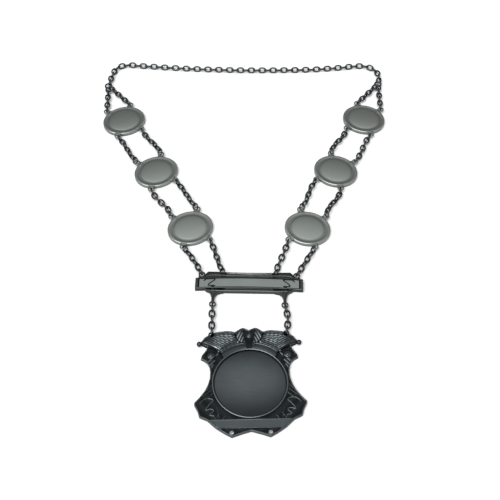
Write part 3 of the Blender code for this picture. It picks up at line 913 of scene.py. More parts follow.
@dataclass(frozen=True)
class Plaque:
    """An oval plaque with four ears.

    Attributes:
        width: Along its long axis.
        height: Along its short axis.
        thickness: Height of its rim above the floor.
        ear_across: Where an ear's foot stands from the middle, along the long axis.
        foot_inset: How far the under side stays inside the wall.
        ear_wear: How bright the ears are rubbed.
        sides: Number of sides of the oval.
        section_points: Points of the smoothed section.
    """

    width: float = 33.8 * MM
    height: float = 29.4 * MM
    thickness: float = 3.4 * MM
    ear_across: float = 8.9 * MM
    foot_inset: float = 0.3 * MM
    ear_wear: float = 0.5
    sides: int = 144
    section_points: int = 110

    def ear(self, side: int, up: int) -> tuple[Vector, Vector]:
        """Hole and outward direction of one ear, about the plaque's middle.

        Args:
            side: -1 for left, 1 for right.
            up: 1 for the ear towards the neck, -1 for the one towards the bar.

        Returns:
            The hole's middle and the direction.
        """
        half_width, half_height = self.width / 2, self.height / 2
        rise = half_height * np.sqrt(1 - (self.ear_across / half_width) ** 2)
        foot = Vector((side * self.ear_across, up * rise, 0.0))
        outward = Vector((foot.x / half_width**2, foot.y / half_height**2, 0.0)).normalized()
        return foot + outward * EARS.radius, outward

    def surface(self) -> Surface:
        """The plaque round the origin.

        A section from the middle of the face over the groove, the rim and the wall to the
        under side is turned about Z and pressed to an oval. Its third column is the wear, which on the wall
        holds painted shade as well as patina.

        Returns:
            The plaque with its ears.
        """
        half = self.width / 2
        rows = np.array(PLAQUE_SECTION)
        fine = smooth_line(rows * (half, self.thickness, half), self.section_points)
        foot = (half - self.foot_inset, 0.0)
        body = turned(np.vstack([(0.0, fine[0, 1]), fine[1:, :2], foot, (0.0, 0.0)]), self.sides)
        # The section's wear, with painted shade on the lower wall.
        worn_and_lit = np.append(fine[1:, 2] / half, rows[-1, 2])
        body.wear = np.concatenate([np.repeat(worn_and_lit, self.sides), rows[[0, -1], 2]])
        body.points[:, 1] *= self.height / self.width
        neck = (2 * EARS.radius, 2 * EARS.radius)
        corners = [self.ear(side, up) for side in (-1, 1) for up in (-1, 1)]
        return merged([body, *(EARS.surface(*corner, *neck, self.ear_wear) for corner in corners)])


PLAQUE_SECTION = (
    # out: share of the half width, up: share of the thickness, wear; down the wall the wear falls towards the
    # floor, as patina and as painted shade
    (0.000, 1.040, 0.84),
    (0.250, 1.030, 0.84),
    (0.480, 1.000, 0.84),
    (0.620, 0.968, 0.82),
    (0.690, 0.943, 0.74),
    (0.730, 0.912, 0.58),
    (0.770, 0.893, 0.52),
    (0.820, 0.890, 0.52),
    (0.865, 0.905, 0.56),
    (0.900, 0.925, 0.64),
    (0.935, 0.935, 0.70),
    (0.970, 0.920, 0.72),
    (0.992, 0.860, 0.66),
    # The wall darkens towards the floor: patina together with painted shade near the floor.
    (1.000, 0.760, 0.55),
    (1.000, 0.500, 0.46),
    (1.000, 0.200, 0.30),
    (1.000, 0.060, 0.12),
)
PLAQUE = Plaque()
PLAQUE_TURNS = {
    # side: turn outwards in degrees, from the lower plaque upwards
    Side.LEFT: (19.6, 25.6, 22.6),
    Side.RIGHT: (18.9, 25.4, 20.5),
}


@dataclass(frozen=True)
class NameBar:
    """The bar that the pendant hangs from.

    Attributes:
        width: Outer width of the frame.
        height: Outer height of the frame.
        thickness: Height of the frame's top.
        arch: How far the bar's middle stands above its ends.
        margin: Width of the frame's end margins.
        field_height: Height of the sunk field.
        field_depth: How deep it is sunk.
        turn: Turn of the bar about Z.
        outer_ear: Where the outer ears stand from the middle.
        inner_ear: Where the inner holes are from the middle.
        ear_reach: How far the ears' holes are above the frame.
        eye: Where the eyes below are from the middle.
        lug_length: From the frame's foot to an eye.
        lug_spread: How far a lug's foot spreads towards the middle.
        lug_neck: Width of the lug at its eye.
        lug_edge: Radius of its edges.
        backing_edge: Radius of the backing plate's edges.
        spine: Half the width of a lug's raised line, at the frame and at the eye.
        streamer: Half the width of a streamer.
        bead: Half the width of the raised lines over the backing plate.
        bead_sink: How far their middles lie under its face.
        hole_sides: Sides of the inner holes.
        frame_steps: Points along the frame and up its ends.
        backing_points: Points round the backing plate.
        lug_points: Points round a lug.
        line_points: Points along a raised line.
        spine_points: Points along a lug's raised line.
        line_sides: Sides of a raised line.
    """

    width: float = 75.6 * MM
    height: float = 8.8 * MM
    thickness: float = 3.7 * MM
    arch: float = 1.2 * MM
    margin: float = 2.5 * MM
    field_height: float = 7.4 * MM
    field_depth: float = 0.35 * MM
    turn: float = radians(-1.0)
    outer_ear: float = 33.4 * MM
    inner_ear: float = 18.0 * MM
    ear_reach: float = 3.3 * MM
    eye: float = 25.0 * MM
    lug_length: float = 12.1 * MM
    lug_spread: float = 9.3 * MM
    lug_neck: float = 1.8 * MM
    lug_edge: float = 0.35 * MM
    backing_edge: float = 0.3 * MM
    spine: tuple[float, float] = (0.55 * MM, 0.25 * MM)
    streamer: float = 0.42 * MM
    bead: float = 0.34 * MM
    bead_sink: float = 0.05 * MM
    hole_sides: int = 28
    frame_steps: tuple[int, int] = (96, 8)
    backing_points: int = 260
    lug_points: int = 160
    line_points: int = 60
    spine_points: int = 24
    line_sides: int = 8

    def hole(self, kind: str, side: int) -> tuple[Vector, Vector]:
        """Hole and outward direction of one ear, about the bar's middle.

        Args:
            kind: "outer", "inner" or "eye".
            side: -1 for left, 1 for right.

        Returns:
            The hole's middle and the direction.
        """
        edge = self.height / 2
        places = {
            "outer": (self.outer_ear, edge + self.ear_reach, 1.0),
            "inner": (self.inner_ear, edge + self.ear_reach, 1.0),
            "eye": (self.eye, -edge - self.lug_length, -1.0),
        }
        x, y, way = places[kind]
        return Vector((side * x, y, 0.0)), Vector((0.0, way, 0.0))

    def at(self, rows: Rows, side: int = 1) -> Points:
        """Points from shares of half the bar's width and of its height.

        Args:
            rows: Pairs of shares.
            side: -1 for the left half, 1 for the right one.

        Returns:
            Points in the plane.
        """
        return np.asarray(rows, float) * (side * self.width / 2, self.height)

    def arched(self, points: Points) -> Points:
        """Points moved up by the arch, a parabola that ends at the bar's ends.

        Args:
            points: Places in the plane.

        Returns:
            The moved places.
        """
        rise = self.arch * (1 - (2 * points[:, 0] / self.width) ** 2)
        return points + np.column_stack([np.zeros(len(points)), rise])

    def backing(self) -> Surface:
        """The plate behind the frame, pierced where the inner strands go in.

        Returns:
            The plate.
        """
        outline = evenly_closed(mirrored(self.at(BACKING_OUTLINE)), self.backing_points)
        turns = tau * np.arange(self.hole_sides) / self.hole_sides
        circle = EARS.hole * np.column_stack([np.cos(turns), np.sin(turns)])
        holes = [circle + np.array(self.hole("inner", side)[0][:2]) for side in (-1, 1)]
        return plate(outline, 0.0, EARS.top, self.backing_edge, BAR_WEAR["backing"], holes)

    def frame(self) -> Surface:
        """The raised frame, as arched rectangles that step in and down to the sunk field.

        Each rectangle is the outer one drawn in by a share of the way to the field's edge.

        Returns:
            The closed block.
        """
        inset = np.array((self.margin, (self.height - self.field_height) / 2))
        rows = np.array(FRAME_SECTION)
        along, up = (np.linspace(-1.0, 1.0, steps + 1) for steps in self.frame_steps)
        bottom = np.column_stack([along[:-1], np.full(len(along) - 1, -1.0)])
        right = np.column_stack([np.ones(len(up) - 1), up[:-1]])
        loop = np.vstack([bottom, right, -bottom, -right])
        half = np.array((self.width / 2, self.height / 2)) - rows[:, :1] * inset - rows[:, 1:2] * MM
        flat_points = self.arched((loop[None] * half[:, None]).reshape(-1, 2))
        heights = self.thickness * rows[:, 2] - self.field_depth * rows[:, 3]
        points = lifted(flat_points, np.repeat(heights, len(loop)))
        count = len(loop)
        faces = [
            grid_faces(len(rows), count, close_columns=True),
            np.arange(count)[None, ::-1],
            filled(points, [np.arange(count) + (len(rows) - 1) * count]),
        ]
        return Surface.of(points, faces, np.repeat(rows[:, 4], count))

    def ridge(self, rows: Rows, height: float, radius: float, wear: float, side: int = 1) -> Surface:
        """A thin raised line over the bar.

        Args:
            rows: Its knots, as shares of half the bar's width and of its height.
            height: Height of its middle.
            radius: Half its width.
            wear: How bright the metal is rubbed.
            side: -1 for the left half, 1 for the right one.

        Returns:
            The line.
        """
        route = smooth_line(self.arched(self.at(rows, side)), self.line_points)
        return swept(lifted(route, height), radius, self.line_sides, False, wear)

    def surface(self) -> Surface:
        """The whole casting round its middle.

        Returns:
            One surface.
        """
        low, edge = EARS.top - self.bead_sink, self.height / 2
        floor = self.thickness - self.field_depth
        parts = [self.backing(), self.frame()]
        for side in (-1, 1):
            for kind in ("outer", "inner", "eye"):
                neck = self.lug_neck if kind == "eye" else 2 * EARS.radius
                ear = self.hole(kind, side)
                parts.append(EARS.surface(*ear, 2 * EARS.radius, neck, BAR_WEAR["ear"]))
            size, foot = (side * self.lug_spread, -self.lug_length), (side * self.eye, -edge)
            lug = smooth_loop(np.array(LUG_OUTLINE) * size + foot, self.lug_points)
            parts.append(plate(lug, 0.0, EARS.top, self.lug_edge, BAR_WEAR["lug"]))
            route = smooth_line(np.array(LUG_SPINE) * size + foot, self.spine_points)
            taper = np.linspace(*self.spine, len(route))
            parts.append(swept(lifted(route, low), taper, self.line_sides, False, BAR_WEAR["spine"]))
            parts.append(self.ridge(BAR_STREAMER, floor, self.streamer, BAR_WEAR["streamer"], side))
        parts += [self.ridge(mirrored_line(rows), low, self.bead, wear) for rows, wear in RIDGES]
        return merged(parts)


FRAME_SECTION = (
    # way in to the field's edge as a share, and in mm past it; shares of thickness and of the
    # field's depth; wear, which on the outer wall falls towards the floor as patina and as painted shade
    # The outer wall: darker towards the floor, patina together with painted shade.
    (0.00, 0.0, 0.00, 0.00, 0.03),
    (0.00, 0.0, 0.60, 0.00, 0.06),
    (0.00, 0.0, 0.92, 0.00, 0.12),
    (0.12, 0.0, 0.98, 0.00, 0.26),
    (0.35, 0.0, 1.00, 0.00, 0.15),
    (0.70, 0.0, 1.00, 0.00, 0.12),
    (0.88, 0.0, 0.99, 0.00, 0.03),
    (1.00, 0.0, 1.00, 1.00, 0.00),
    (1.00, 0.36, 1.00, 1.00, 0.00),
    (1.00, 0.44, 1.00, 1.00, 0.60),
    (1.00, 0.90, 1.00, 1.00, 0.66),
)
BACKING_OUTLINE = (
    # across, up: shares of half the bar's width and of its height
    (0.000, 0.953),
    (0.405, 1.003),
    (0.772, 1.136),
    (0.852, 0.730),
    (0.885, 0.400),
    (0.860, -0.300),
    (0.802, -0.560),
    (0.466, -0.683),
    (0.000, -0.663),
)
LUG_OUTLINE = (
    # outwards, down: shares of the lug's spread and of its length
    (0.560, -0.100),
    (0.560, 0.050),
    (0.288, 0.165),
    (0.165, 0.365),
    (0.105, 0.580),
    (0.097, 0.820),
    (-0.097, 0.820),
    (-0.105, 0.580),
    (-0.195, 0.385),
    (-0.403, 0.228),
    (-0.808, 0.136),
    (-0.808, -0.100),
)
LUG_SPINE = (
    # outwards, down: shares of the lug's spread and of its length
    (-0.120, 0.060),
    (-0.060, 0.250),
    (-0.010, 0.450),
    (0.000, 0.700),
)
BAR_STREAMER = (
    # across, up: shares of half the bar's width and of its height
    (0.843, 0.183),
    (0.794, 0.360),
    (0.635, 0.319),
    (0.718, 0.010),
    (0.755, -0.236),
    (0.635, -0.260),
    (0.700, -0.370),
)
RIDGES = (
    # knots across and up from the middle to the right, as shares of half the bar's width and of
    # its height; wear
    (((0.000, 0.900), (0.405, 0.945), (0.740, 1.040), (0.770, 1.020), (0.828, 0.720)), 0.02),
    (((0.000, 0.640), (0.405, 0.680), (0.700, 0.740), (0.800, 0.640)), 0.17),
    (((0.000, -0.775), (0.460, -0.760), (0.700, -0.700)), 0.24),
    (((0.000, -0.660), (0.420, -0.640), (0.700, -0.570)), 0.02),
)
BAR_WEAR = {"backing": 0.11, "ear": 0.12, "lug": 0.09, "spine": 0.24, "streamer": 0.02}
BAR = NameBar()


@dataclass(frozen=True)
class Layout:
    """Where the castings and rings of the order lie.

    Attributes:
        bar: Place of the name bar.
        pendant: Place of the shield.
        plaques: Place of each plaque by side and row.
        junctions: Middle of each junction ring.
    """

    bar: Matrix
    pendant: Matrix
    plaques: dict[tuple[Side, Row], Matrix]
    junctions: dict[Side, Vector]

    @classmethod
    def from_frame(cls) -> "Layout":
        """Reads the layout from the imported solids.

        The frame block of the bar reaches as far left as right, and the right eye is its lowest
        point, so both give its middle. The three stones give the shield's middle and turn.

        Returns:
            The layout.
        """
        low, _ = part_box("name_bar")
        turn = Matrix.Rotation(BAR.turn, 4, "Z")
        foot = (turn @ BAR.hole("eye", 1)[0]).y - EARS.radius
        bar = Matrix.Translation((middle_of("name_bar").x, low.y - foot, 0.0)) @ turn
        lower = flat(middle_of("rhinestone_left") + middle_of("rhinestone_right")) / 2
        upper = flat(middle_of("centre_stone"))
        up = (upper - lower).normalized()
        centre = upper - up * STONES["centre_stone"][1][1]
        pendant = Matrix.Translation(centre) @ Matrix.Rotation(atan2(-up.x, up.y), 4, "Z")
        plaques = {}
        for side in Side:
            for row in Row:
                spin = Matrix.Rotation(-side.value * radians(PLAQUE_TURNS[side][row.value]), 4, "Z")
                middle = flat(middle_of(f"plaque_{side.word}_{row.word}"))
                plaques[side, row] = Matrix.Translation(middle) @ spin
        junctions = {side: middle_of(f"junction_ring_{side.word}") for side in Side}
        return cls(bar, pendant, plaques, junctions)

    def hole(self, side: Side, row: Row, outer: bool, up: int) -> Vector:
        """Middle of one ear of one plaque.

        Args:
            side: The plaque's side.
            row: The plaque's row.
            outer: True for the ear away from the middle of the order.
            up: 1 for the ear towards the neck, -1 for the one towards the bar.

        Returns:
            A point on the floor.
        """
        ear_side = side.value if outer else -side.value
        return self.plaques[side, row] @ PLAQUE.ear(ear_side, up)[0]


# The shield pendant


@dataclass(frozen=True)
class Ridge:
    """The section of a raised line, a bead or a boss, round on top.

    Attributes:
        reach: Half its width.
        rise: Its height, negative for a groove.
        wear: How bright the metal is rubbed.
    """

    reach: float
    rise: float
    wear: float


@dataclass
class Relief:
    """Height and wear of cast work at many places, built up layer by layer.

    Attributes:
        height: Height above the floor at each place.
        wear: Wear at each place, with the caps' painted highlights.
    """

    height: np.ndarray
    wear: np.ndarray

    def add(self, share: np.ndarray, rise: float, wear: float | np.ndarray) -> None:
        """Adds a layer that follows what lies below it.

        Args:
            share: How much of the layer is there, 0 to 1 at each place.
            rise: Its height, negative for a groove.
            wear: Its wear.
        """
        self.height = self.height + rise * share
        self.wear = self.wear + share * (wear - self.wear)

    def level(self, share: np.ndarray, top: float | np.ndarray, wear: float | np.ndarray) -> None:
        """Adds a layer whose own height holds, whatever lies below it.

        Args:
            share: How much of the layer is there, 0 to 1 at each place.
            top: Its height above the floor.
            wear: Its wear.
        """
        self.height = self.height + share * (top - self.height)
        self.wear = self.wear + share * (wear - self.wear)

    def draw(self, away: np.ndarray, ridge: Ridge, share: float | np.ndarray = 1.0) -> None:
        """Adds a ridge that follows what lies below it.

        Args:
            away: Distance of each place from the ridge's line.
            ridge: Its section.
            share: How much of it is there, 0 to 1.
        """
        self.add(share * dome(away, ridge.reach), ridge.rise, ridge.wear)


SHIELD_OUTLINE = (
    # across, up: shares of half the width and of the height, from the field's centre
    (0.000, 0.502),
    (0.062, 0.517),
    (0.105, 0.526),
    (0.148, 0.522),
    (0.263, 0.485),
    (0.340, 0.495),
    (0.419, 0.498),
    (0.560, 0.492),
    (0.685, 0.478),
    (0.826, 0.437),
    (0.915, 0.378),
    (0.790, 0.359),
    (0.772, 0.338),
    (0.796, 0.312),
    (0.872, 0.263),
    (0.890, 0.230),
    (0.830, 0.216),
    (0.775, 0.195),
    (0.735, 0.160),
    (0.716, 0.110),
    (0.722, 0.050),
    (0.757, -0.012),
    (0.811, -0.065),
    (0.904, -0.125),
    (0.999, -0.174),
    (0.997, -0.193),
    (0.938, -0.245),
    (0.908, -0.297),
    (0.767, -0.327),
    (0.615, -0.394),
    (0.468, -0.440),
    (0.338, -0.475),
    (0.180, -0.449),
    (0.000, -0.424),
)
CAP_OUTLINE = (
    # across, up: shares of half the width and of the height
    (0.068, 0.503),
    (0.105, 0.515),
    (0.150, 0.510),
    (0.262, 0.474),
    (0.340, 0.483),
    (0.419, 0.488),
    (0.560, 0.480),
    (0.685, 0.467),
    (0.826, 0.427),
    (0.905, 0.378),
    (0.747, 0.345),
    (0.638, 0.317),
    (0.550, 0.290),
    (0.500, 0.268),
    (0.375, 0.308),
    (0.255, 0.333),
    (0.135, 0.345),
    (0.046, 0.335),
    (0.098, 0.488),
)
CAP_FOLD = ((0.262, 0.474), (0.252, 0.440), (0.215, 0.405), (0.160, 0.380))
BRIM = (
    # turn from straight up in degrees, width as a share of the rim's width
    (3.5, 0.8),
    (6.0, 1.5),
    (10.5, 2.2),
    (20.0, 2.4),
    (30.0, 2.4),
    (39.5, 2.6),
    (43.0, 1.3),
)
# Turns in degrees over which a brim sets in and ends, its crest's place and half width as shares of
# its reach, how much lower its edge is, and the wear of that edge.
BRIM_START = (3.0, 4.0)
BRIM_END = (43.0, 44.5)
BRIM_CREST = 0.55
BRIM_SPREAD = 0.65
BRIM_DROP = 0.5 * MM
BRIM_WEAR = 0.06
LOBE_BOSS = (0.701, 0.256)
KNOBS = (
    # across, up: shares of the half width and the height; size as a share of the bell's;
    # height of the middle as a share of the shield's thickness; wear
    (0.922, 0.374, 1.00, 0.94, 0.14),
    (0.562, 0.290, 0.62, 1.40, 0.26),
    (*LOBE_BOSS, 0.95, 0.92, 0.20),
)
STREAMER = (
    # across, up: shares of half the width and of the height
    (0.890, -0.172),
    (0.815, -0.142),
    (0.725, -0.138),
    (0.660, -0.156),
    (0.725, -0.190),
    (0.795, -0.238),
    (0.705, -0.231),
    (0.652, -0.246),
    (0.725, -0.280),
    (0.640, -0.292),
)
LOBE_RIBS = (
    # from and to, as pairs of across and up, shares of the half width and of the height
    ((0.575, 0.276), (0.740, 0.205)),
    ((0.640, 0.212), (0.728, 0.170)),
    ((0.668, 0.168), (0.712, 0.135)),
)
FINE_LINES = (
    # from and to, as pairs of across and up, shares of the half width and of the height
    ((0.695, -0.012), (0.765, -0.055)),
    ((0.692, -0.058), (0.835, -0.112)),
    ((0.665, -0.088), (0.775, -0.135)),
    ((0.553, -0.268), (0.625, -0.312)),
    ((0.600, -0.215), (0.560, -0.300)),
    ((0.450, -0.290), (0.492, -0.314)),
)
BANNER_OUTLINE = (
    # across, up: shares of the half width and of the height
    (0.745, -0.324),
    (0.558, -0.408),
)
BANNER_WEAR = 0.20
CAP_POINTS = 300
FOLD_POINTS = 30
STREAMER_POINTS = 80

# Where the wall of a raised form begins and ends, as a depth inside its outline.
WALL = (-0.05 * MM, 0.30 * MM)
FINE_LINE = Ridge(0.34 * MM, 0.25 * MM, 0.14)
RIB = Ridge(1.05 * MM, 0.65 * MM, 0.21)
BOSS = Ridge(3.0 * MM, 1.2 * MM, 0.22)
STREAMER_CORD = Ridge(0.42 * MM, 0.5 * MM, 0.30)
FOLD = Ridge(0.50 * MM, -0.35 * MM, 0.0)

# The beads along an edge, each with its distance from that edge.
EDGE_BEAD, EDGE_INSET = Ridge(0.55 * MM, 0.40 * MM, 0.19), 0.50 * MM
BANNER_BEAD, BANNER_INSET = Ridge(0.35 * MM, 0.06 * MM, 0.24), 0.45 * MM
CAP_BEAD, CAP_INSET = Ridge(0.32 * MM, 0.12 * MM, 0.13), 0.40 * MM

# The plain ground: its wear, and the wear, way and pitch of the file marks and of their fading.
GROUND_WEAR = 0.018
MARKS_WEAR = 0.05
MARKS_WAY, MARKS_PITCH = (0.8, 0.6), 1.15 * MM
FADING_WAY, FADING_PITCH = (1.0, -1.0), 9.0 * MM


@dataclass(frozen=True)
class Strokes:
    """The strokes on a cap, and the swell of its body.

    A way is the direction that a wave runs in, as a vector in the plane.

    Attributes:
        tip_edge: Where the folded tip ends, as a share of the half width.
        tip_out: From the rim's middle line out to the folded tip.
        drape_out: From there out to the end of the strokes round the brim.
        tip_way: The way across the tip's strokes.
        tip_pitch: Pitch of the strokes on the tip.
        pitch: Pitch of the other strokes.
        break_way: The way of the slower wave that breaks the strokes up.
        break_pitch: Its pitch.
        bend: How much that wave bends, in radians.
        bend_pitch: Pitch of its bends.
        hump_start: Where the hump's painted highlight begins, as shares of the half width.
        hump_end: Where it ends.
        fade: Depths inside the cap between which the strokes' lightness, with its painted highlights, sets
            in.
        tip_light: Lightness of the tip's stroke crests, rubbed metal with a painted highlight.
        drape_light: Lightness of the stroke crests round the brim, rubbed metal with a painted highlight.
        side_light: Lightness of the stroke crests beside the hump, rubbed metal with a painted highlight.
        hump_light: The painted highlight that the hump adds to that.
        plain: Wear between the strokes.
        unbroken: Share of a stroke that is never broken up.
        rise: Height of a stroke.
        swell: How much lower the cap is at its edge.
        swell_reach: Depth inside the cap at which it is full.
    """

    tip_edge: float = 0.235
    tip_out: float = 5.6 * MM
    drape_out: float = 7.4 * MM
    tip_way: tuple[float, float] = (0.91, 0.41)
    tip_pitch: float = 1.85 * MM
    pitch: float = 1.30 * MM
    break_way: tuple[float, float] = (0.8, -0.6)
    break_pitch: float = 2.3 * MM
    bend: float = 1.6
    bend_pitch: float = 5.0 * MM
    hump_start: tuple[float, float] = (0.26, 0.36)
    hump_end: tuple[float, float] = (0.56, 0.72)
    fade: tuple[float, float] = (0.6 * MM, 1.5 * MM)
    tip_light: float = 0.95
    drape_light: float = 0.20
    side_light: float = 0.18
    hump_light: float = 0.95
    plain: float = 0.055
    unbroken: float = 0.3
    rise: float = 0.13 * MM
    swell: float = 0.45 * MM
    swell_reach: float = 2.6 * MM


STROKES = Strokes()


@dataclass(frozen=True)
class Shield:
    """The pendant's casting.

    Attributes:
        width: Greatest width.
        height: Height that the outline's shares refer to.
        thickness: Height of the plain ground.
        rim_diameter: Outer diameter of the raised rim.
        field_floor: Height of the sunk round field.
        rim_width: Width of the raised rim.
        rim_top: Height of its crest.
        cap_top: Height of a cap.
        brim_top: Height of a brim.
        banner_top: Height of the banner.
        bell: Diameter of a bell.
        hole_up: Where the holes for the drop chains are above the middle.
        seat_floor: Height of the floor under a stone.
        seat_gap: Room round a stone.
        seat_wall: Width of the collar round a stone.
        seat_rise: How far the collar stands above the ground.
        seat_slope: Width of the slope down into a seat.
        seat_wear: Wear of the seat's floor.
        pit_floor: Height of the floor of a pit that shows an ear's hole.
        pit_slope: Width of the slope down into it.
        edge_drop: How much lower the ground is at the outline.
        wall_wear: Wear of the wall's upper and lower half and of the back; the lower half is darker towards
            the floor, as patina and as painted shade.
        field_dip: From the rim to where the field is flat.
        glow_middle: Middle of the painted reflection on the field, a lighter band in its wear.
        glow_squash: Its height as a share of its width.
        glow_fade: Shares of the field's radius between which the painted reflection fades.
        glow_wear: Wear that the painted reflection lays in at its middle.
        glow_loss: Share of that which is gone at the field's edge, a painted darkening towards the rim.
        glow_end: From the rim to the end of the painted reflection.
        rim_wear: Wear of the rim's crest and of its flanks.
        collar_wear: Wear of the collars round the stones.
        ear_wear: Wear of the ears.
        ray_centre: Height above the middle of the point that the mesh's columns run out from.
        columns: Points round the outline.
        rows: Points from the rim to the outline.
        field_sides: Sides of the field and the rim.
        field_rings: Rings of points in the field.
        field_span: Where the innermost and outermost of them are, as shares of the radius.
        rim_steps: Points over the rim.
        seat_sides: Sides of the collar round a stone.
    """

    width: float = 72.4 * MM
    height: float = 77.8 * MM
    thickness: float = 2.2 * MM
    rim_diameter: float = 50.0 * MM
    field_floor: float = 1.5 * MM
    rim_width: float = 1.3 * MM
    rim_top: float = 3.3 * MM
    cap_top: float = 3.4 * MM
    brim_top: float = 3.7 * MM
    banner_top: float = 3.0 * MM
    bell: float = 3.6 * MM
    hole_up: float = 35.46 * MM
    seat_floor: float = 0.8 * MM
    seat_gap: float = 0.3 * MM
    seat_wall: float = 0.4 * MM
    seat_rise: float = 0.5 * MM
    seat_slope: float = 0.25 * MM
    seat_wear: float = 0.10
    pit_floor: float = 0.3 * MM
    pit_slope: float = 0.20 * MM
    edge_drop: float = 0.25 * MM
    wall_wear: tuple[float, float, float] = (0.14, 0.05, 0.05)
    field_dip: float = 0.35 * MM
    glow_middle: tuple[float, float] = (-1.5 * MM, 2.8 * MM)
    glow_squash: float = 0.62
    glow_fade: tuple[float, float] = (0.12, 1.08)
    glow_wear: float = 0.26
    glow_loss: float = 0.78
    glow_end: float = 0.4 * MM
    rim_wear: tuple[float, float] = (0.32, 0.04)
    collar_wear: float = 0.22
    ear_wear: float = 0.12
    ray_centre: float = 12.0 * MM
    columns: int = 940
    rows: int = 80
    field_sides: int = 192
    field_rings: int = 24
    field_span: tuple[float, float] = (0.04, 0.96)
    rim_steps: int = 12
    seat_sides: int = 40

    @property
    def rim_middle(self) -> float:
        """Radius of the rim's middle line."""
        return (self.rim_diameter - self.rim_width) / 2

    def at(self, rows: Rows, side: int = 1) -> Points:
        """Points of one half from shares of the shield's size.

        Args:
            rows: Pairs of shares of the half width and of the height.
            side: -1 for the left half, 1 for the right one.

        Returns:
            Points in the plane.
        """
        return np.asarray(rows, float) * (side * self.width / 2, self.height)

    def outline(self) -> Points:
        """The shield's outline, evenly spaced, with its corners kept.

        Returns:
            Points in the plane.
        """
        return evenly_closed(mirrored(self.at(SHIELD_OUTLINE)), self.columns)

    def add_lines(self, relief: Relief, half: Points, edge: np.ndarray) -> None:
        """The lobes' ribs and bosses, the fine lines, the streamers and the bead along the edge.

        Args:
            relief: What they are added to.
            half: Places in the plane, all moved to the right half.
            edge: Distance of each place from the shield's edge.
        """
        for lines, ridge in ((FINE_LINES, FINE_LINE), (LOBE_RIBS, RIB)):
            relief.draw(np.min([distance_to(self.at(line), half) for line in lines], axis=0), ridge)
        relief.draw(np.linalg.norm(half - self.at((LOBE_BOSS,)), axis=1), BOSS)
        relief.draw(distance_to(smooth_line(self.at(STREAMER), STREAMER_POINTS), half), STREAMER_CORD)
        relief.draw(edge - EDGE_INSET, EDGE_BEAD)

    def add_cap(self, relief: Relief, half: Points, radius: np.ndarray) -> None:
        """A cap with its strokes: diagonal on the curled tip, along the hump, and round the brim.

        The strokes are a sine of the distance across them, and a slower sine breaks them up.
        The cap swells with the depth inside its outline. Its stroke crests are lighter, partly as rubbed
        metal and partly as painted highlights, strongest on the tip and the hump and faded near its outline.

        Args:
            relief: What it is added to.
            half: Places in the plane, all moved to the right half.
            radius: Distance of each place from the shield's middle.
        """
        depth = depth_inside(evenly_closed(self.at(CAP_OUTLINE), CAP_POINTS), half)
        inside = soft_step(depth, *WALL)
        across, out = half[:, 0] / (self.width / 2), radius - self.rim_middle
        tip = (across < STROKES.tip_edge) & (out > STROKES.tip_out)
        drape = (out < STROKES.drape_out) & ~tip
        way = np.where(tip, half @ STROKES.tip_way, np.where(drape, radius, depth))
        stroke = waves(way, np.where(tip, STROKES.tip_pitch, STROKES.pitch))
        bend = STROKES.bend * np.sin(tau * half[:, 1] / STROKES.bend_pitch)
        broken = waves(half @ STROKES.break_way, STROKES.break_pitch, bend)
        broken = np.where(tip, 1.0, STROKES.unbroken + (1 - STROKES.unbroken) * broken)
        # The hump and the tip carry painted highlights: lighter stroke crests in the zones where a light's
        # glints would fall.
        hump = soft_step(across, *STROKES.hump_start) * (1.0 - soft_step(across, *STROKES.hump_end))
        light = np.where(drape, STROKES.drape_light, STROKES.side_light + STROKES.hump_light * hump)
        light = np.where(tip, STROKES.tip_light, light) * soft_step(depth, *STROKES.fade)
        drop = STROKES.swell * (1 - soft_step(depth, 0.0, STROKES.swell_reach))
        top = self.cap_top - drop + STROKES.rise * (stroke - 0.5)
        # The strokes' lightness is rubbed crests together with the painted highlights.
        relief.level(inside, top, STROKES.plain + light * stroke**2 * broken)
        relief.draw(depth - CAP_INSET, CAP_BEAD, inside)
        relief.draw(distance_to(smooth_line(self.at(CAP_FOLD), FOLD_POINTS), half), FOLD, inside)

    def add_brim(self, relief: Relief, turn: np.ndarray, out: np.ndarray) -> None:
        """A brim, the smooth band along the rim below a cap.

        Args:
            relief: What it is added to.
            turn: Turn of each place from straight up, in degrees.
            out: Distance of each place outwards from the rim's middle line.
        """
        turns, widths = np.array(BRIM).T
        reach = self.rim_width * (0.5 + np.interp(turn, turns, widths))
        length = soft_step(turn, *BRIM_START) * (1 - soft_step(turn, *BRIM_END))
        top = dome(out - BRIM_CREST * reach, BRIM_SPREAD * reach)
        share = soft_step(reach - out, *WALL) * length
        relief.level(share, self.brim_top - BRIM_DROP * (1 - top), BRIM_WEAR * (1 + top))

    def relief(self, places: Points) -> Relief:
        """The cast relief outside the round field.

        The relief is the same left and right, so the sign of X is dropped first. The lines come
        first, then the banner, the caps and the brims, and last what is sunk: the seats of the
        stones and the holes of the drop chains.

        Args:
            places: Places in the plane.

        Returns:
            Height and wear for each place.
        """
        half = np.column_stack([np.abs(places[:, 0]), places[:, 1]])
        radius = np.linalg.norm(places, axis=1)
        edge = distance_to(self.outline(), places, closed=True)
        marks = waves(half @ MARKS_WAY, MARKS_PITCH) * waves(half @ FADING_WAY, FADING_PITCH)
        relief = Relief(np.full(len(places), self.thickness), GROUND_WEAR + MARKS_WEAR * marks)
        self.add_lines(relief, half, edge)
        banner = depth_inside(mirrored(self.at(BANNER_OUTLINE)), places)
        relief.level(soft_step(banner, *WALL), self.banner_top, BANNER_WEAR)
        relief.draw(banner - BANNER_INSET, BANNER_BEAD)
        self.add_cap(relief, half, radius)
        self.add_brim(relief, np.degrees(np.arctan2(half[:, 0], half[:, 1])), radius - self.rim_middle)
        for diameter, centre in STONES.values():
            away = np.linalg.norm(places - centre, axis=1) - diameter / 2 - self.seat_gap
            relief.level(1 - soft_step(away, 0.0, self.seat_slope), self.seat_floor, self.seat_wear)
        away = np.linalg.norm(half - (BAR.eye, self.hole_up), axis=1) - EARS.hole
        relief.level(1 - soft_step(away, 0.0, self.pit_slope), self.pit_floor, 0.0)
        return relief

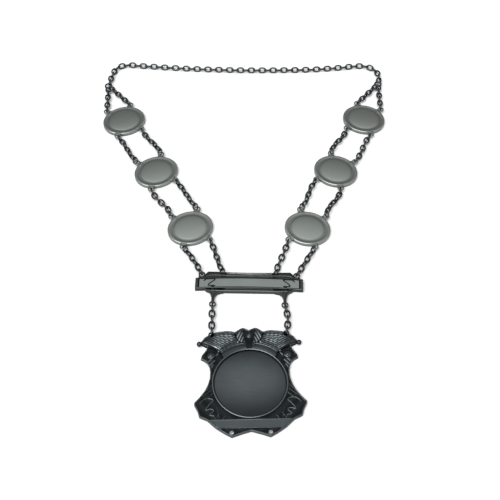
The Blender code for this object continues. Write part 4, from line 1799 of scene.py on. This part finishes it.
    def ground(self) -> Surface:
        """The relief between the round rim and the outline, with the wall and the back.

        Each column of points runs along a ray from a point above the middle, from the rim's
        circle to the outline, and on down the wall to the back.

        Returns:
            The closed ring of metal outside the round field.
        """
        outline = self.outline()
        centre = np.array((0.0, self.ray_centre))
        way = outline - centre
        way /= np.linalg.norm(way, axis=1, keepdims=True)
        ahead = way @ centre
        reach = -ahead + np.sqrt(ahead**2 - centre @ centre + self.rim_middle**2)
        start = centre + way * reach[:, None]
        share = np.linspace(0.0, 1.0, self.rows)
        places = start[None] + (outline - start)[None] * share[:, None, None]
        relief = self.relief(places.reshape(-1, 2))
        height = relief.height.reshape(self.rows, -1)
        wear = relief.wear.reshape(self.rows, -1)
        height[-1] -= self.edge_drop
        top = np.dstack([places, height])
        rest = [lifted(outline, self.thickness / 2), lifted(outline, 0.0), lifted(start, 0.0)]
        points = np.concatenate([top, np.array(rest)])
        # The wall is darker in its lower half, patina together with painted shade near the floor.
        wall = np.repeat(np.array([self.wall_wear]).T, len(outline), axis=1)
        faces = [grid_faces(len(points), len(outline), close_rows=True, close_columns=True)]
        return Surface.of(points.reshape(-1, 3), faces, np.concatenate([wear, wall]).ravel())

    def field(self) -> Surface:
        """The round field, its raised rim and the back behind it, turned about the middle.

        Returns:
            The closed disc.
        """
        middle, half = self.rim_middle, self.rim_width / 2
        turns = np.linspace(pi, 0.0, self.rim_steps)
        crest = self.rim_top - half
        rim = np.column_stack([middle + half * np.cos(turns), crest + half * np.sin(turns)])
        inner = middle - half
        section = [
            (0.0, self.field_floor),
            *((inner * share, self.field_floor) for share in np.linspace(*self.field_span, self.field_rings)),
            (inner - self.field_dip, self.field_floor),
            (inner - 0.06 * MM, self.field_floor + 0.05 * MM),
            (inner, self.field_floor + 0.3 * MM),
            *rim,
            (middle + half, 0.4 * MM),
            (middle + half, 0.0),
            (0.0, 0.0),
        ]
        surface = turned(section, self.field_sides)
        radius = np.hypot(surface.points[:, 0], surface.points[:, 1])
        high = surface.points[:, 2] > self.rim_top - self.field_dip
        # The field's wear is a painted reflection: a lighter band above the middle that darkens towards the
        # rim, where a light's sheen would fall.
        across, up = (surface.points[:, :2] - self.glow_middle).T
        away = np.hypot(self.glow_squash * across, up) / inner
        # This value is the painted reflection on the field, not rubbed metal.
        rubbed = self.glow_wear * (1.0 - self.glow_loss * soft_step(away, *self.glow_fade))
        crest, flank = self.rim_wear
        inside = radius < inner - self.glow_end
        surface.wear = np.where(inside, rubbed, np.where(high, crest, flank))
        return surface

    def seat(self, diameter: float, centre: tuple[float, float]) -> Surface:
        """The collar round a stone, a closed section turned about the stone's middle.

        Args:
            diameter: The stone's diameter.
            centre: The stone's middle in the plane.

        Returns:
            The collar.
        """
        hole, base = diameter / 2 + self.seat_gap * 0.4, self.thickness + self.seat_rise
        section = (
            (hole, self.seat_floor),
            (hole, base - 0.1 * MM),
            (hole + 0.3 * self.seat_wall, base),
            (hole + 0.9 * self.seat_wall, base - 0.08 * MM),
            (hole + 1.3 * self.seat_wall, base - self.seat_rise),
            (hole + 1.3 * self.seat_wall, self.seat_floor),
        )
        collar = turned(section, self.seat_sides, self.collar_wear)
        return collar.moved(Matrix.Translation((*centre, 0.0)))

    def surface(self) -> Surface:
        """The whole casting round its middle.

        Returns:
            One surface.
        """
        parts = [self.ground(), self.field()]
        for side in (-1, 1):
            for x, y, size, height, wear in KNOBS:
                middle = (*self.at(((x, y),), side)[0], height * self.thickness)
                parts.append(ball(size * self.bell / 2, middle, wear))
            hole = Vector((side * BAR.eye, self.hole_up, 0.0))
            size = (EARS.radius, EARS.radius)
            parts.append(EARS.surface(hole, Vector((0.0, 1.0, 0.0)), *size, self.ear_wear))
        parts += [self.seat(diameter, centre) for diameter, centre in STONES.values()]
        return merged(parts)


STONES = {
    # name: diameter and middle
    "rhinestone_left": (2.8 * MM, (-12.3 * MM, -34.04 * MM)),
    "rhinestone_right": (2.8 * MM, (12.3 * MM, -34.04 * MM)),
    "centre_stone": (2.6 * MM, (0.0, 34.96 * MM)),
}
STONE_RINGS = (
    # out, up: shares of the stone's diameter; turn as a share of a side
    (0.270, 0.220, 0.0),
    (0.405, 0.140, 0.5),
    (0.500, 0.030, 0.0),
    (0.500, 0.000, 0.0),
)
STONE_POINT = -0.340
STONE_SIDES = 8
SHIELD = Shield()


def cut_stone(diameter: float) -> Surface:
    """A cut stone: an eight-sided table, a crown of triangles, a girdle and a point below.

    Rings of eight points, each turned half a side on from the last where the facets are
    triangles, are joined by two triangles a side.

    Args:
        diameter: The stone's diameter.

    Returns:
        The stone, with the lower edge of its girdle at height 0.
    """
    rows = np.array(STONE_RINGS)
    side = np.arange(STONE_SIDES)
    turns = tau * (side[None] + rows[:, 2:]) / STONE_SIDES
    out, up = rows[:, :1] * diameter, rows[:, 1:2] * diameter
    points = np.dstack([out * np.cos(turns), out * np.sin(turns), np.broadcast_to(up, turns.shape)])
    points = np.vstack([points.reshape(-1, 3), (0.0, 0.0, STONE_POINT * diameter)])
    after = (side + 1) % STONE_SIDES
    table, crown, girdle, foot = (side + STONE_SIDES * ring for ring in range(4))
    faces = [
        table[None],
        np.column_stack([table, crown, after]),
        np.column_stack([crown, after + STONE_SIDES, after]),
        np.column_stack([crown, girdle, after + 2 * STONE_SIDES]),
        np.column_stack([crown, after + 2 * STONE_SIDES, after + STONE_SIDES]),
        np.column_stack([girdle, foot, after + 3 * STONE_SIDES, after + 2 * STONE_SIDES]),
        np.column_stack([foot, np.full(STONE_SIDES, len(points) - 1), after + 3 * STONE_SIDES]),
    ]
    return Surface.of(points, faces, 1.0)


# Finishes


def new_group(name: str, inputs: Sockets, outputs: Sockets) -> bpy.types.NodeTree:
    """An empty shader node group with its sockets.

    Args:
        name: The group's name.
        inputs: Name and kind of each input.
        outputs: Name and kind of each output.

    Returns:
        The group.
    """
    group = bpy.data.node_groups.new(name, "ShaderNodeTree")
    for way, sockets in (("INPUT", inputs), ("OUTPUT", outputs)):
        for socket, kind in sockets.items():
            group.interface.new_socket(socket, in_out=way, socket_type=kind)
    group.nodes.new("NodeGroupInput")
    group.nodes.new("NodeGroupOutput")
    return group


def arithmetic(tree: bpy.types.NodeTree, operation: str, *values: Value) -> bpy.types.NodeSocket:
    """A math node over sockets and numbers.

    Args:
        tree: The tree it goes into.
        operation: The node's operation.
        values: What it takes, each a socket to link or a number to set.

    Returns:
        The node's result.
    """
    node = tree.nodes.new("ShaderNodeMath")
    node.operation = operation
    for socket, value in zip(node.inputs, values):
        if isinstance(value, bpy.types.NodeSocket):
            tree.links.new(value, socket)
        else:
            socket.default_value = value
    return node.outputs[0]


def brushing_group() -> bpy.types.NodeTree:
    """Fine brush marks: noise on coordinates that are stretched along one direction.

    Returns:
        The group, with Marks around one half.
    """
    vector = "NodeSocketVector"
    inputs = {"Vector": vector, "Direction": vector, "Fineness": vector}
    group = new_group("brush marks", inputs, {"Marks": "NodeSocketFloat"})
    entry, leave = group.nodes["Group Input"], group.nodes["Group Output"]
    turn = group.nodes.new("ShaderNodeMapping")
    noise = group.nodes.new("ShaderNodeTexNoise")
    noise.inputs["Scale"].default_value = 1.0
    noise.inputs["Detail"].default_value = BRUSH_DETAIL
    group.links.new(entry.outputs["Vector"], turn.inputs["Vector"])
    group.links.new(entry.outputs["Direction"], turn.inputs["Rotation"])
    group.links.new(entry.outputs["Fineness"], turn.inputs["Scale"])
    group.links.new(turn.outputs["Vector"], noise.inputs["Vector"])
    group.links.new(noise.outputs["Fac"], leave.inputs["Marks"])
    return group


def patina_group() -> bpy.types.NodeTree:
    """How bare the metal is: the wear, unevened by soft patches and by the brush marks.

    The wear is multiplied by one, plus the patches' and the marks' distance from one half, each
    times its strength.

    Returns:
        The group, with Bareness And Painted Light from 0 to 1 and a fine casting grain.
    """
    number = "NodeSocketFloat"
    inputs = {
        "Vector": "NodeSocketVector",
        "Wear": number,
        "Marks": number,
        "Brushing": number,
        "Patch Scale": number,
        "Patchiness": number,
        "Grain Scale": number,
    }
    group = new_group("uneven patina", inputs, {"Bareness": number, "Grain": number})
    entry, leave = group.nodes["Group Input"], group.nodes["Group Output"]
    unevenness = []
    for scale in ("Patch Scale", "Grain Scale"):
        noise = group.nodes.new("ShaderNodeTexNoise")
        noise.inputs["Detail"].default_value = PATINA_DETAIL
        group.links.new(entry.outputs["Vector"], noise.inputs["Vector"])
        group.links.new(entry.outputs[scale], noise.inputs["Scale"])
        unevenness.append(noise.outputs["Fac"])
    patches, grain = unevenness
    total = 1.0
    for source, strength in ((patches, "Patchiness"), (entry.outputs["Marks"], "Brushing")):
        away = arithmetic(group, "SUBTRACT", source, 0.5)
        total = arithmetic(group, "MULTIPLY_ADD", away, entry.outputs[strength], total)
    # The wear that is unevened here also carries painted reflection, highlight and shade.
    bare = arithmetic(group, "MULTIPLY", entry.outputs["Wear"], total)
    held = arithmetic(group, "MINIMUM", arithmetic(group, "MAXIMUM", bare, 0.0), 1.0)
    group.links.new(held, leave.inputs["Bareness"])
    group.links.new(grain, leave.inputs["Grain"])
    return group


@dataclass(frozen=True)
class Silver:
    """A patinated silver finish.

    Attributes:
        name: The material's name.
        dark: Colour where the patina lies.
        bright: Colour where it is rubbed off, and of the painted highlights and reflections.
        rough_dark: Roughness of the patina.
        rough_bright: Roughness of the rubbed metal.
        direction: Direction of the brushing about Z, in degrees.
        brushing: How much the brush marks show.
        patchiness: How much soft patches show.
        relief: Strength of the marks' and the grain's relief.
    """

    name: str
    dark: Colour
    bright: Colour
    rough_dark: float
    rough_bright: float
    direction: float
    brushing: float
    patchiness: float
    relief: float

    def material(self, marks: bpy.types.NodeTree, patina: bpy.types.NodeTree) -> Material:
        """The finish as a material.

        Args:
            marks: The group of brush marks.
            patina: The group of uneven patina.

        Returns:
            The material.
        """
        made = bpy.data.materials.new(self.name)
        made.use_nodes = True
        tree = made.node_tree
        nodes, links = tree.nodes, tree.links
        shader = nodes["Principled BSDF"]
        shader.inputs["Metallic"].default_value = 1.0
        places = nodes.new("ShaderNodeTexCoord").outputs["Object"]
        # The wear attribute holds rubbed metal and, on some castings, painted reflection, highlight and
        # shade.
        worn_and_lit = nodes.new("ShaderNodeAttribute")
        worn_and_lit.attribute_name = "wear"
        brushed, bared_and_lit = nodes.new("ShaderNodeGroup"), nodes.new("ShaderNodeGroup")
        brushed.node_tree, bared_and_lit.node_tree = marks, patina
        brushed.inputs["Direction"].default_value = (0.0, 0.0, radians(-self.direction))
        brushed.inputs["Fineness"].default_value = BRUSH_FINENESS
        for name, value in (
            ("Brushing", self.brushing),
            ("Patch Scale", PATCH_SCALE),
            ("Patchiness", self.patchiness),
            ("Grain Scale", GRAIN_SCALE),
        ):
            bared_and_lit.inputs[name].default_value = value
        links.new(places, brushed.inputs["Vector"])
        links.new(places, bared_and_lit.inputs["Vector"])
        links.new(worn_and_lit.outputs["Fac"], bared_and_lit.inputs["Wear"])
        links.new(brushed.outputs["Marks"], bared_and_lit.inputs["Marks"])
        colour = nodes.new("ShaderNodeMix")
        colour.data_type = "RGBA"
        colour.inputs["A"].default_value = (*self.dark, 1.0)
        colour.inputs["B"].default_value = (*self.bright, 1.0)
        rough = nodes.new("ShaderNodeMix")
        rough.inputs["A"].default_value = self.rough_dark
        rough.inputs["B"].default_value = self.rough_bright
        for mix, target in ((colour, "Base Color"), (rough, "Roughness")):
            links.new(bared_and_lit.outputs["Bareness"], mix.inputs["Factor"])
            links.new(mix.outputs["Result"], shader.inputs[target])
        bump = nodes.new("ShaderNodeBump")
        bump.inputs["Strength"].default_value = self.relief
        bump.inputs["Distance"].default_value = BUMP_DEPTH
        height = arithmetic(tree, "ADD", brushed.outputs["Marks"], bared_and_lit.outputs["Grain"])
        links.new(height, bump.inputs["Height"])
        links.new(bump.outputs["Normal"], shader.inputs["Normal"])
        return made


@dataclass(frozen=True)
class Glass:
    """Cut glass.

    Attributes:
        name: The material's name.
        colour: Its colour.
        clearness: How much of the light goes through.
        roughness: How dull its facets are.
        bending: Its index of refraction.
    """

    name: str
    colour: Colour
    clearness: float
    roughness: float
    bending: float = 1.6

    def material(self) -> Material:
        """The finish as a material.

        Returns:
            The material.
        """
        made = bpy.data.materials.new(self.name)
        made.use_nodes = True
        shader = made.node_tree.nodes["Principled BSDF"]
        shader.inputs["Base Color"].default_value = (*self.colour, 1.0)
        shader.inputs["Roughness"].default_value = self.roughness
        shader.inputs["IOR"].default_value = self.bending
        shader.inputs["Transmission Weight"].default_value = self.clearness
        return made


BRUSH_FINENESS = (90.0, 2600.0, 2600.0)
BRUSH_DETAIL = 3.0
PATINA_DETAIL = 2.0
PATCH_SCALE = 70.0
GRAIN_SCALE = 2400.0
BUMP_DEPTH = 0.02 * MM
SHIELD_SILVER = Silver(
    name="shield_silver",
    dark=(0.006, 0.0068, 0.0076),
    bright=(0.38, 0.435, 0.45),
    rough_dark=0.40,
    rough_bright=0.30,
    direction=90.0,
    brushing=0.45,
    patchiness=0.35,
    relief=0.25,
)
BAR_SILVER = Silver(
    name="bar_silver",
    dark=(0.006, 0.0068, 0.007),
    bright=(0.46, 0.515, 0.50),
    rough_dark=0.40,
    rough_bright=0.34,
    direction=0.0,
    brushing=0.35,
    patchiness=0.20,
    relief=0.25,
)
PLAQUE_SILVER = Silver(
    name="plaque_silver",
    dark=(0.020, 0.022, 0.021),
    bright=(0.44, 0.480, 0.456),
    rough_dark=0.40,
    rough_bright=0.28,
    direction=10.0,
    brushing=0.04,
    patchiness=0.05,
    relief=0.10,
)
CHAIN_SILVER = Silver(
    name="chain_silver",
    dark=(0.006, 0.007, 0.008),
    bright=(0.115, 0.132, 0.142),
    rough_dark=0.38,
    rough_bright=0.28,
    direction=0.0,
    brushing=0.10,
    patchiness=0.50,
    relief=0.2,
)
CLEAR_GLASS = Glass(name="clear_glass", colour=(0.50, 0.52, 0.55), clearness=0.60, roughness=0.02)
DULL_GLASS = Glass(name="dull_glass", colour=(0.06, 0.063, 0.066), clearness=0.0, roughness=0.20)


# Putting it together


def shown(name: str, surface: Surface, material: Material, node: str) -> bpy.types.Object:
    """Makes a surface an object that stands for a solid of the frame.

    Args:
        name: The piece's name.
        surface: Its shape in the row's frame.
        material: Its finish.
        node: The solid it replaces.

    Returns:
        The object.
    """
    mesh = bpy.data.meshes.new(name)
    mesh.from_pydata(surface.points, [], [tuple(face) for faces in surface.faces for face in faces.tolist()])
    # The wear attribute holds rubbed metal and, on some castings, painted reflection, highlight and shade.
    worn_and_lit = mesh.attributes.new("wear", "FLOAT", "POINT")
    worn_and_lit.data.foreach_set("value", surface.wear.astype(np.float32))
    mesh.materials.append(material)
    mesh.update()
    mesh.shade_smooth()
    mesh.set_sharp_from_angle(angle=SHARP_ANGLE)
    made = bpy.data.objects.new(name, mesh)
    bpy.context.scene.collection.objects.link(made)
    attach(made, "root")
    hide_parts(node)
    log.info("%s: %d faces in place of %s", name, len(mesh.polygons), node)
    return made


STRAND_LAY = {
    # side, whether outer: swings of the route, turns of the top link and of the jump ring in degrees
    (Side.LEFT, True): ((1, 125.0, 55.0), (-2, 75.0, 55.0), (2, 95.0, 125.0)),
    (Side.LEFT, False): ((2, 95.0, 125.0), (2, 100.0, 125.0), (-2, 85.0, 125.0)),
    (Side.RIGHT, True): ((1, 55.0, 125.0), (2, 85.0, 55.0), (-2, 95.0, 125.0)),
    (Side.RIGHT, False): ((2, 85.0, 125.0), (-2, 80.0, 55.0), (2, 105.0, 55.0)),
}
NECK_ROUTE = (
    # across, up: shares of half the distance between the junctions and of the rise
    (-0.990, 0.300),
    (-0.975, 0.650),
    (-0.940, 0.900),
    (-0.865, 1.000),
    (-0.787, 0.965),
    (-0.464, 0.840),
    (-0.140, 0.765),
    (0.104, 0.745),
    (0.466, 0.770),
    (0.709, 0.860),
    (0.860, 0.950),
    (0.940, 0.900),
    (0.995, 0.690),
    (1.017, 0.370),
)


@dataclass(frozen=True)
class NeckChain:
    """The neck chain and the shoulders that carry it.

    Attributes:
        rise: How far the chain's top lies above the junctions.
        height: Height of its links' middles where it lies on the floor.
        ramp: How far from a junction it comes down to that.
        lean: Roll of its links in degrees where it lies on the floor.
        end_lean: How much more they roll at the junctions.
        shoulder_links: Links in each strand of a shoulder.
        route_points: Points along the chain's route.
    """

    rise: float = 24.8 * MM
    height: float = 2.0 * MM
    ramp: float = 25.0 * MM
    lean: float = 45.0
    end_lean: float = 35.0
    shoulder_links: int = 6
    route_points: int = 900

    def surface(self, junctions: dict[Side, Vector]) -> Surface:
        """The neck chain's links, from junction to junction.

        Args:
            junctions: Middle of each junction ring.

        Returns:
            One surface.
        """
        left, right = (np.array(junctions[side][:2]) for side in (Side.LEFT, Side.RIGHT))
        half, middle = np.linalg.norm(right - left) / 2, (left + right) / 2
        knots = np.array(NECK_ROUTE) * (half, self.rise) + middle
        ends = JUNCTION_RING.inner + LINK.inner + BITE
        first = left + unit(knots[0] - left) * ends
        last = right + unit(knots[-1] - right) * ends
        route = smooth_line(np.vstack([first, knots, last]), self.route_points)
        way = walked(route)
        count = round(way[-1] / (2 * LINK.inner + BITE)) + 1
        at = np.linspace(0.0, way[-1], count)
        spots = places_at(at, route)
        slope = np.gradient(spots, axis=0)
        ramp = np.clip(np.minimum(at, way[-1] - at) / self.ramp, 0.0, 1.0)
        heights = CHAIN_HEIGHT + ramp * (self.height - CHAIN_HEIGHT)
        lean = np.radians(self.lean + self.end_lean * (1 - ramp))
        rolls = lean - QUARTER_TURN * (np.arange(count) % 2)
        log.info("neck chain: %d links at a pitch of %.2f mm", count, way[-1] / (count - 1) / MM)
        headings = np.arctan2(slope[:, 1], slope[:, 0])
        return placed_rings([LINK] * count, lifted(spots, heights), headings, rolls)

    def shoulder(self, junction: Vector, ears: list[Vector]) -> Surface:
        """Both strands of a shoulder, from the ears of the upper plaque to the junction ring.

        Args:
            junction: Middle of the junction ring.
            ears: Holes of the plaque.

        Returns:
            One surface.
        """
        count = self.shoulder_links
        rolls = QUARTER_TURN * (1 + np.arange(count)[::-1])
        found = []
        for ear in ears:
            way = unit(np.array((ear - flat(junction))[:2]))
            first = np.array(junction[:2]) + way * (JUNCTION_RING.inner + LINK.inner + BITE)
            last = np.array(ear[:2]) - way * (HOLE_PLAY + LINK.half)
            places = lifted(np.linspace(first, last, count), CHAIN_HEIGHT)
            headings = np.full(count, atan2(way[1], way[0]))
            found.append(placed_rings([LINK] * count, places, headings, rolls))
        return merged(found)


NECK = NeckChain()


@dataclass(frozen=True)
class Order:
    """The whole order, which makes its pieces one sub-assembly after the other.

    Attributes:
        layout: Where everything lies.
        finishes: The materials by name.
    """

    layout: Layout
    finishes: dict[str, Material]

    @classmethod
    def dressed(cls, layout: Layout) -> "Order":
        """The order with its materials made.

        Args:
            layout: Where everything lies.

        Returns:
            The order.
        """
        marks, patina = brushing_group(), patina_group()
        finishes = {
            silver.name: silver.material(marks, patina)
            for silver in (SHIELD_SILVER, BAR_SILVER, PLAQUE_SILVER, CHAIN_SILVER)
        }
        finishes |= {glass.name: glass.material() for glass in (CLEAR_GLASS, DULL_GLASS)}
        return cls(layout, finishes)

    def castings(self) -> None:
        """The shield, the name bar and the plaques."""
        pendant, bar = SHIELD.surface().moved(self.layout.pendant), BAR.surface().moved(self.layout.bar)
        shown("shield", pendant, self.finishes["shield_silver"], "pendant_shield")
        shown("bar", bar, self.finishes["bar_silver"], "name_bar")
        oval = PLAQUE.surface()
        for (side, row), place in self.layout.plaques.items():
            name = f"{side.word}_{row.word}"
            finish = self.finishes["plaque_silver"]
            shown(f"oval_{name}", oval.moved(place), finish, f"plaque_{name}")

    def stones(self) -> None:
        """The two clear rhinestones and the dull one between the caps."""
        for name, (diameter, (x, y)) in STONES.items():
            lift = SHIELD.seat_floor + SHIELD.seat_gap - STONE_POINT * diameter
            stone = cut_stone(diameter).moved(self.layout.pendant @ Matrix.Translation((x, y, lift)))
            kind = "dull" if name == "centre_stone" else "clear"
            piece = shown(f"{name}_glass", stone, self.finishes[f"{kind}_glass"], name)
            piece.data.shade_flat()

    def chains(self, side: Side) -> None:
        """All chain of one side: the drop chain, the strands, the shoulder and its ring.

        Args:
            side: Which side.
        """
        layout, finish, slot = self.layout, self.finishes["chain_silver"], "chain_metal"
        eye = layout.bar @ BAR.hole("eye", side.value)[0]
        hole = layout.pendant @ Vector((side.value * BAR.eye, SHIELD.hole_up, 0.0))
        drop = Strand([LINK] * DROP_LINKS, eye, hole, side.value, DROP_TURN, DROP_TURN)
        shown(f"drop_links_{side.word}", drop.surface(), finish, f"pendant_chain_{side.word}")
        for outer, word in ((True, "outer"), (False, "inner")):
            lower = layout.bar @ BAR.hole(word, side.value)[0]
            for row in Row:
                links = SHORT_STRAND_LINKS if outer and row is Row.LOWER else STRAND_LINKS
                pieces = [LINK] * links + [JUMP_RING]
                upper = layout.hole(side, row, outer, -1)
                strand = Strand(pieces, upper, lower, *STRAND_LAY[side, outer][row.value])
                name = f"{side.word}_{word}_{row.word}"
                shown(f"links_{name}", strand.surface(), finish, f"strand_{name}")
                lower = layout.hole(side, row, outer, 1)
        ears = [layout.hole(side, Row.UPPER, outer, 1) for outer in (True, False)]
        shoulder = NECK.shoulder(layout.junctions[side], ears)
        shown(f"shoulder_links_{side.word}", shoulder, finish, f"shoulder_chains_{side.word}")
        ring = JUNCTION_RING.surface(around=48, sides=12).moved(Matrix.Translation(layout.junctions[side]))
        shown(f"meeting_ring_{side.word}", ring, finish, f"junction_ring_{side.word}")

    def build(self) -> None:
        """Makes every piece."""
        self.castings()
        self.stones()
        for side in Side:
            self.chains(side)
        neck = NECK.surface(self.layout.junctions)
        shown("neck_links", neck, self.finishes["chain_silver"], "neck_chain")


@dataclass(frozen=True)
class Studio:
    """Floor, light and camera.

    Attributes:
        floor_size: Side of the floor.
        floor_shade: Its grey.
        floor_roughness: How dull it is.
        elevation: The camera's angle above the floor.
        distance: From the camera to what it looks at.
        lens: Its focal length in mm.
        sensor_width: Width of its picture plane in mm.
        near: The nearest that it sees.
        look_at: What it looks at, from the bar's middle.
        sun_from: Where the soft light comes from.
        sun_power: How strong it is.
        sun_width: How wide it is seen from the floor, in degrees.
        sky: Height of the direction and brightness of the surroundings there.
    """

    floor_size: float = 6.0
    floor_shade: float = 0.90
    floor_roughness: float = 0.9
    elevation: float = radians(55.0)
    distance: float = 607.7 * MM
    lens: float = 60.38
    sensor_width: float = 36.0
    near: float = 10.0 * MM
    look_at: tuple[float, float] = (0.6 * MM, 31.34 * MM)
    sun_from: tuple[float, float, float] = (-0.30, -0.35, 1.0)
    sun_power: float = 2.6
    sun_width: float = 50.0
    sky: Rows = (
        (0.0, 0.50),
        (0.30, 0.45),
        (0.55, 0.20),
        (0.70, 0.15),
        (0.78, 0.45),
        (0.84, 0.90),
        (1.0, 1.0),
    )

    def floor(self) -> None:
        """A plain pale floor."""
        bpy.ops.mesh.primitive_plane_add(size=self.floor_size)
        floor = bpy.context.object
        floor.name = "floor"
        paper = bpy.data.materials.new("paper")
        paper.use_nodes = True
        shader = paper.node_tree.nodes["Principled BSDF"]
        shader.inputs["Base Color"].default_value = (*[self.floor_shade] * 3, 1.0)
        shader.inputs["Roughness"].default_value = self.floor_roughness
        shader.inputs["Specular IOR Level"].default_value = 0.0
        floor.data.materials.append(paper)

    def light(self) -> None:
        """Surroundings that brighten towards the top, and one wide soft light."""
        world = bpy.data.worlds.new("studio")
        world.use_nodes = True
        nodes, links = world.node_tree.nodes, world.node_tree.links
        way = nodes.new("ShaderNodeTexCoord")
        split = nodes.new("ShaderNodeSeparateXYZ")
        ramp = nodes.new("ShaderNodeValToRGB")
        links.new(way.outputs["Generated"], split.inputs["Vector"])
        links.new(split.outputs["Z"], ramp.inputs["Fac"])
        steps = ramp.color_ramp.elements
        while len(steps) < len(self.sky):
            steps.new(0.5)
        for step, (height, brightness) in zip(steps, self.sky):
            step.position = height
            step.color = (brightness, brightness, brightness, 1.0)
        links.new(ramp.outputs["Color"], nodes["Background"].inputs["Color"])
        bpy.context.scene.world = world
        lamp = bpy.data.lights.new("soft_light", "SUN")
        lamp.energy = self.sun_power
        lamp.angle = radians(self.sun_width)
        stand = bpy.data.objects.new("soft_light", lamp)
        stand.rotation_euler = Vector(self.sun_from).to_track_quat("Z", "Y").to_euler()
        bpy.context.scene.collection.objects.link(stand)

    def camera(self, bar: Vector) -> None:
        """The camera at the photograph's angle.

        Args:
            bar: The name bar's middle.
        """
        target = Vector((bar.x + self.look_at[0], bar.y + self.look_at[1], 0.0))
        lens = bpy.data.cameras.new("camera")
        lens.lens = self.lens
        lens.sensor_width = self.sensor_width
        lens.clip_start = self.near
        camera = bpy.data.objects.new("camera", lens)
        back = Vector((0.0, -cos(self.elevation), sin(self.elevation)))
        camera.location = target + back * self.distance
        camera.rotation_euler = (-back).to_track_quat("-Z", "Y").to_euler()
        bpy.context.scene.collection.objects.link(camera)
        bpy.context.scene.camera = camera
        bpy.context.scene.view_settings.view_transform = "Standard"


def main() -> None:
    """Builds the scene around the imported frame."""
    logging.basicConfig(level=logging.INFO)
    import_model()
    layout = Layout.from_frame()
    log.info("bar at %s, pendant at %s", layout.bar.translation, layout.pendant.translation)
    Order.dressed(layout).build()
    studio = Studio()
    studio.floor()
    studio.light()
    studio.camera(layout.bar.translation)


if __name__ == "__main__":
    main()
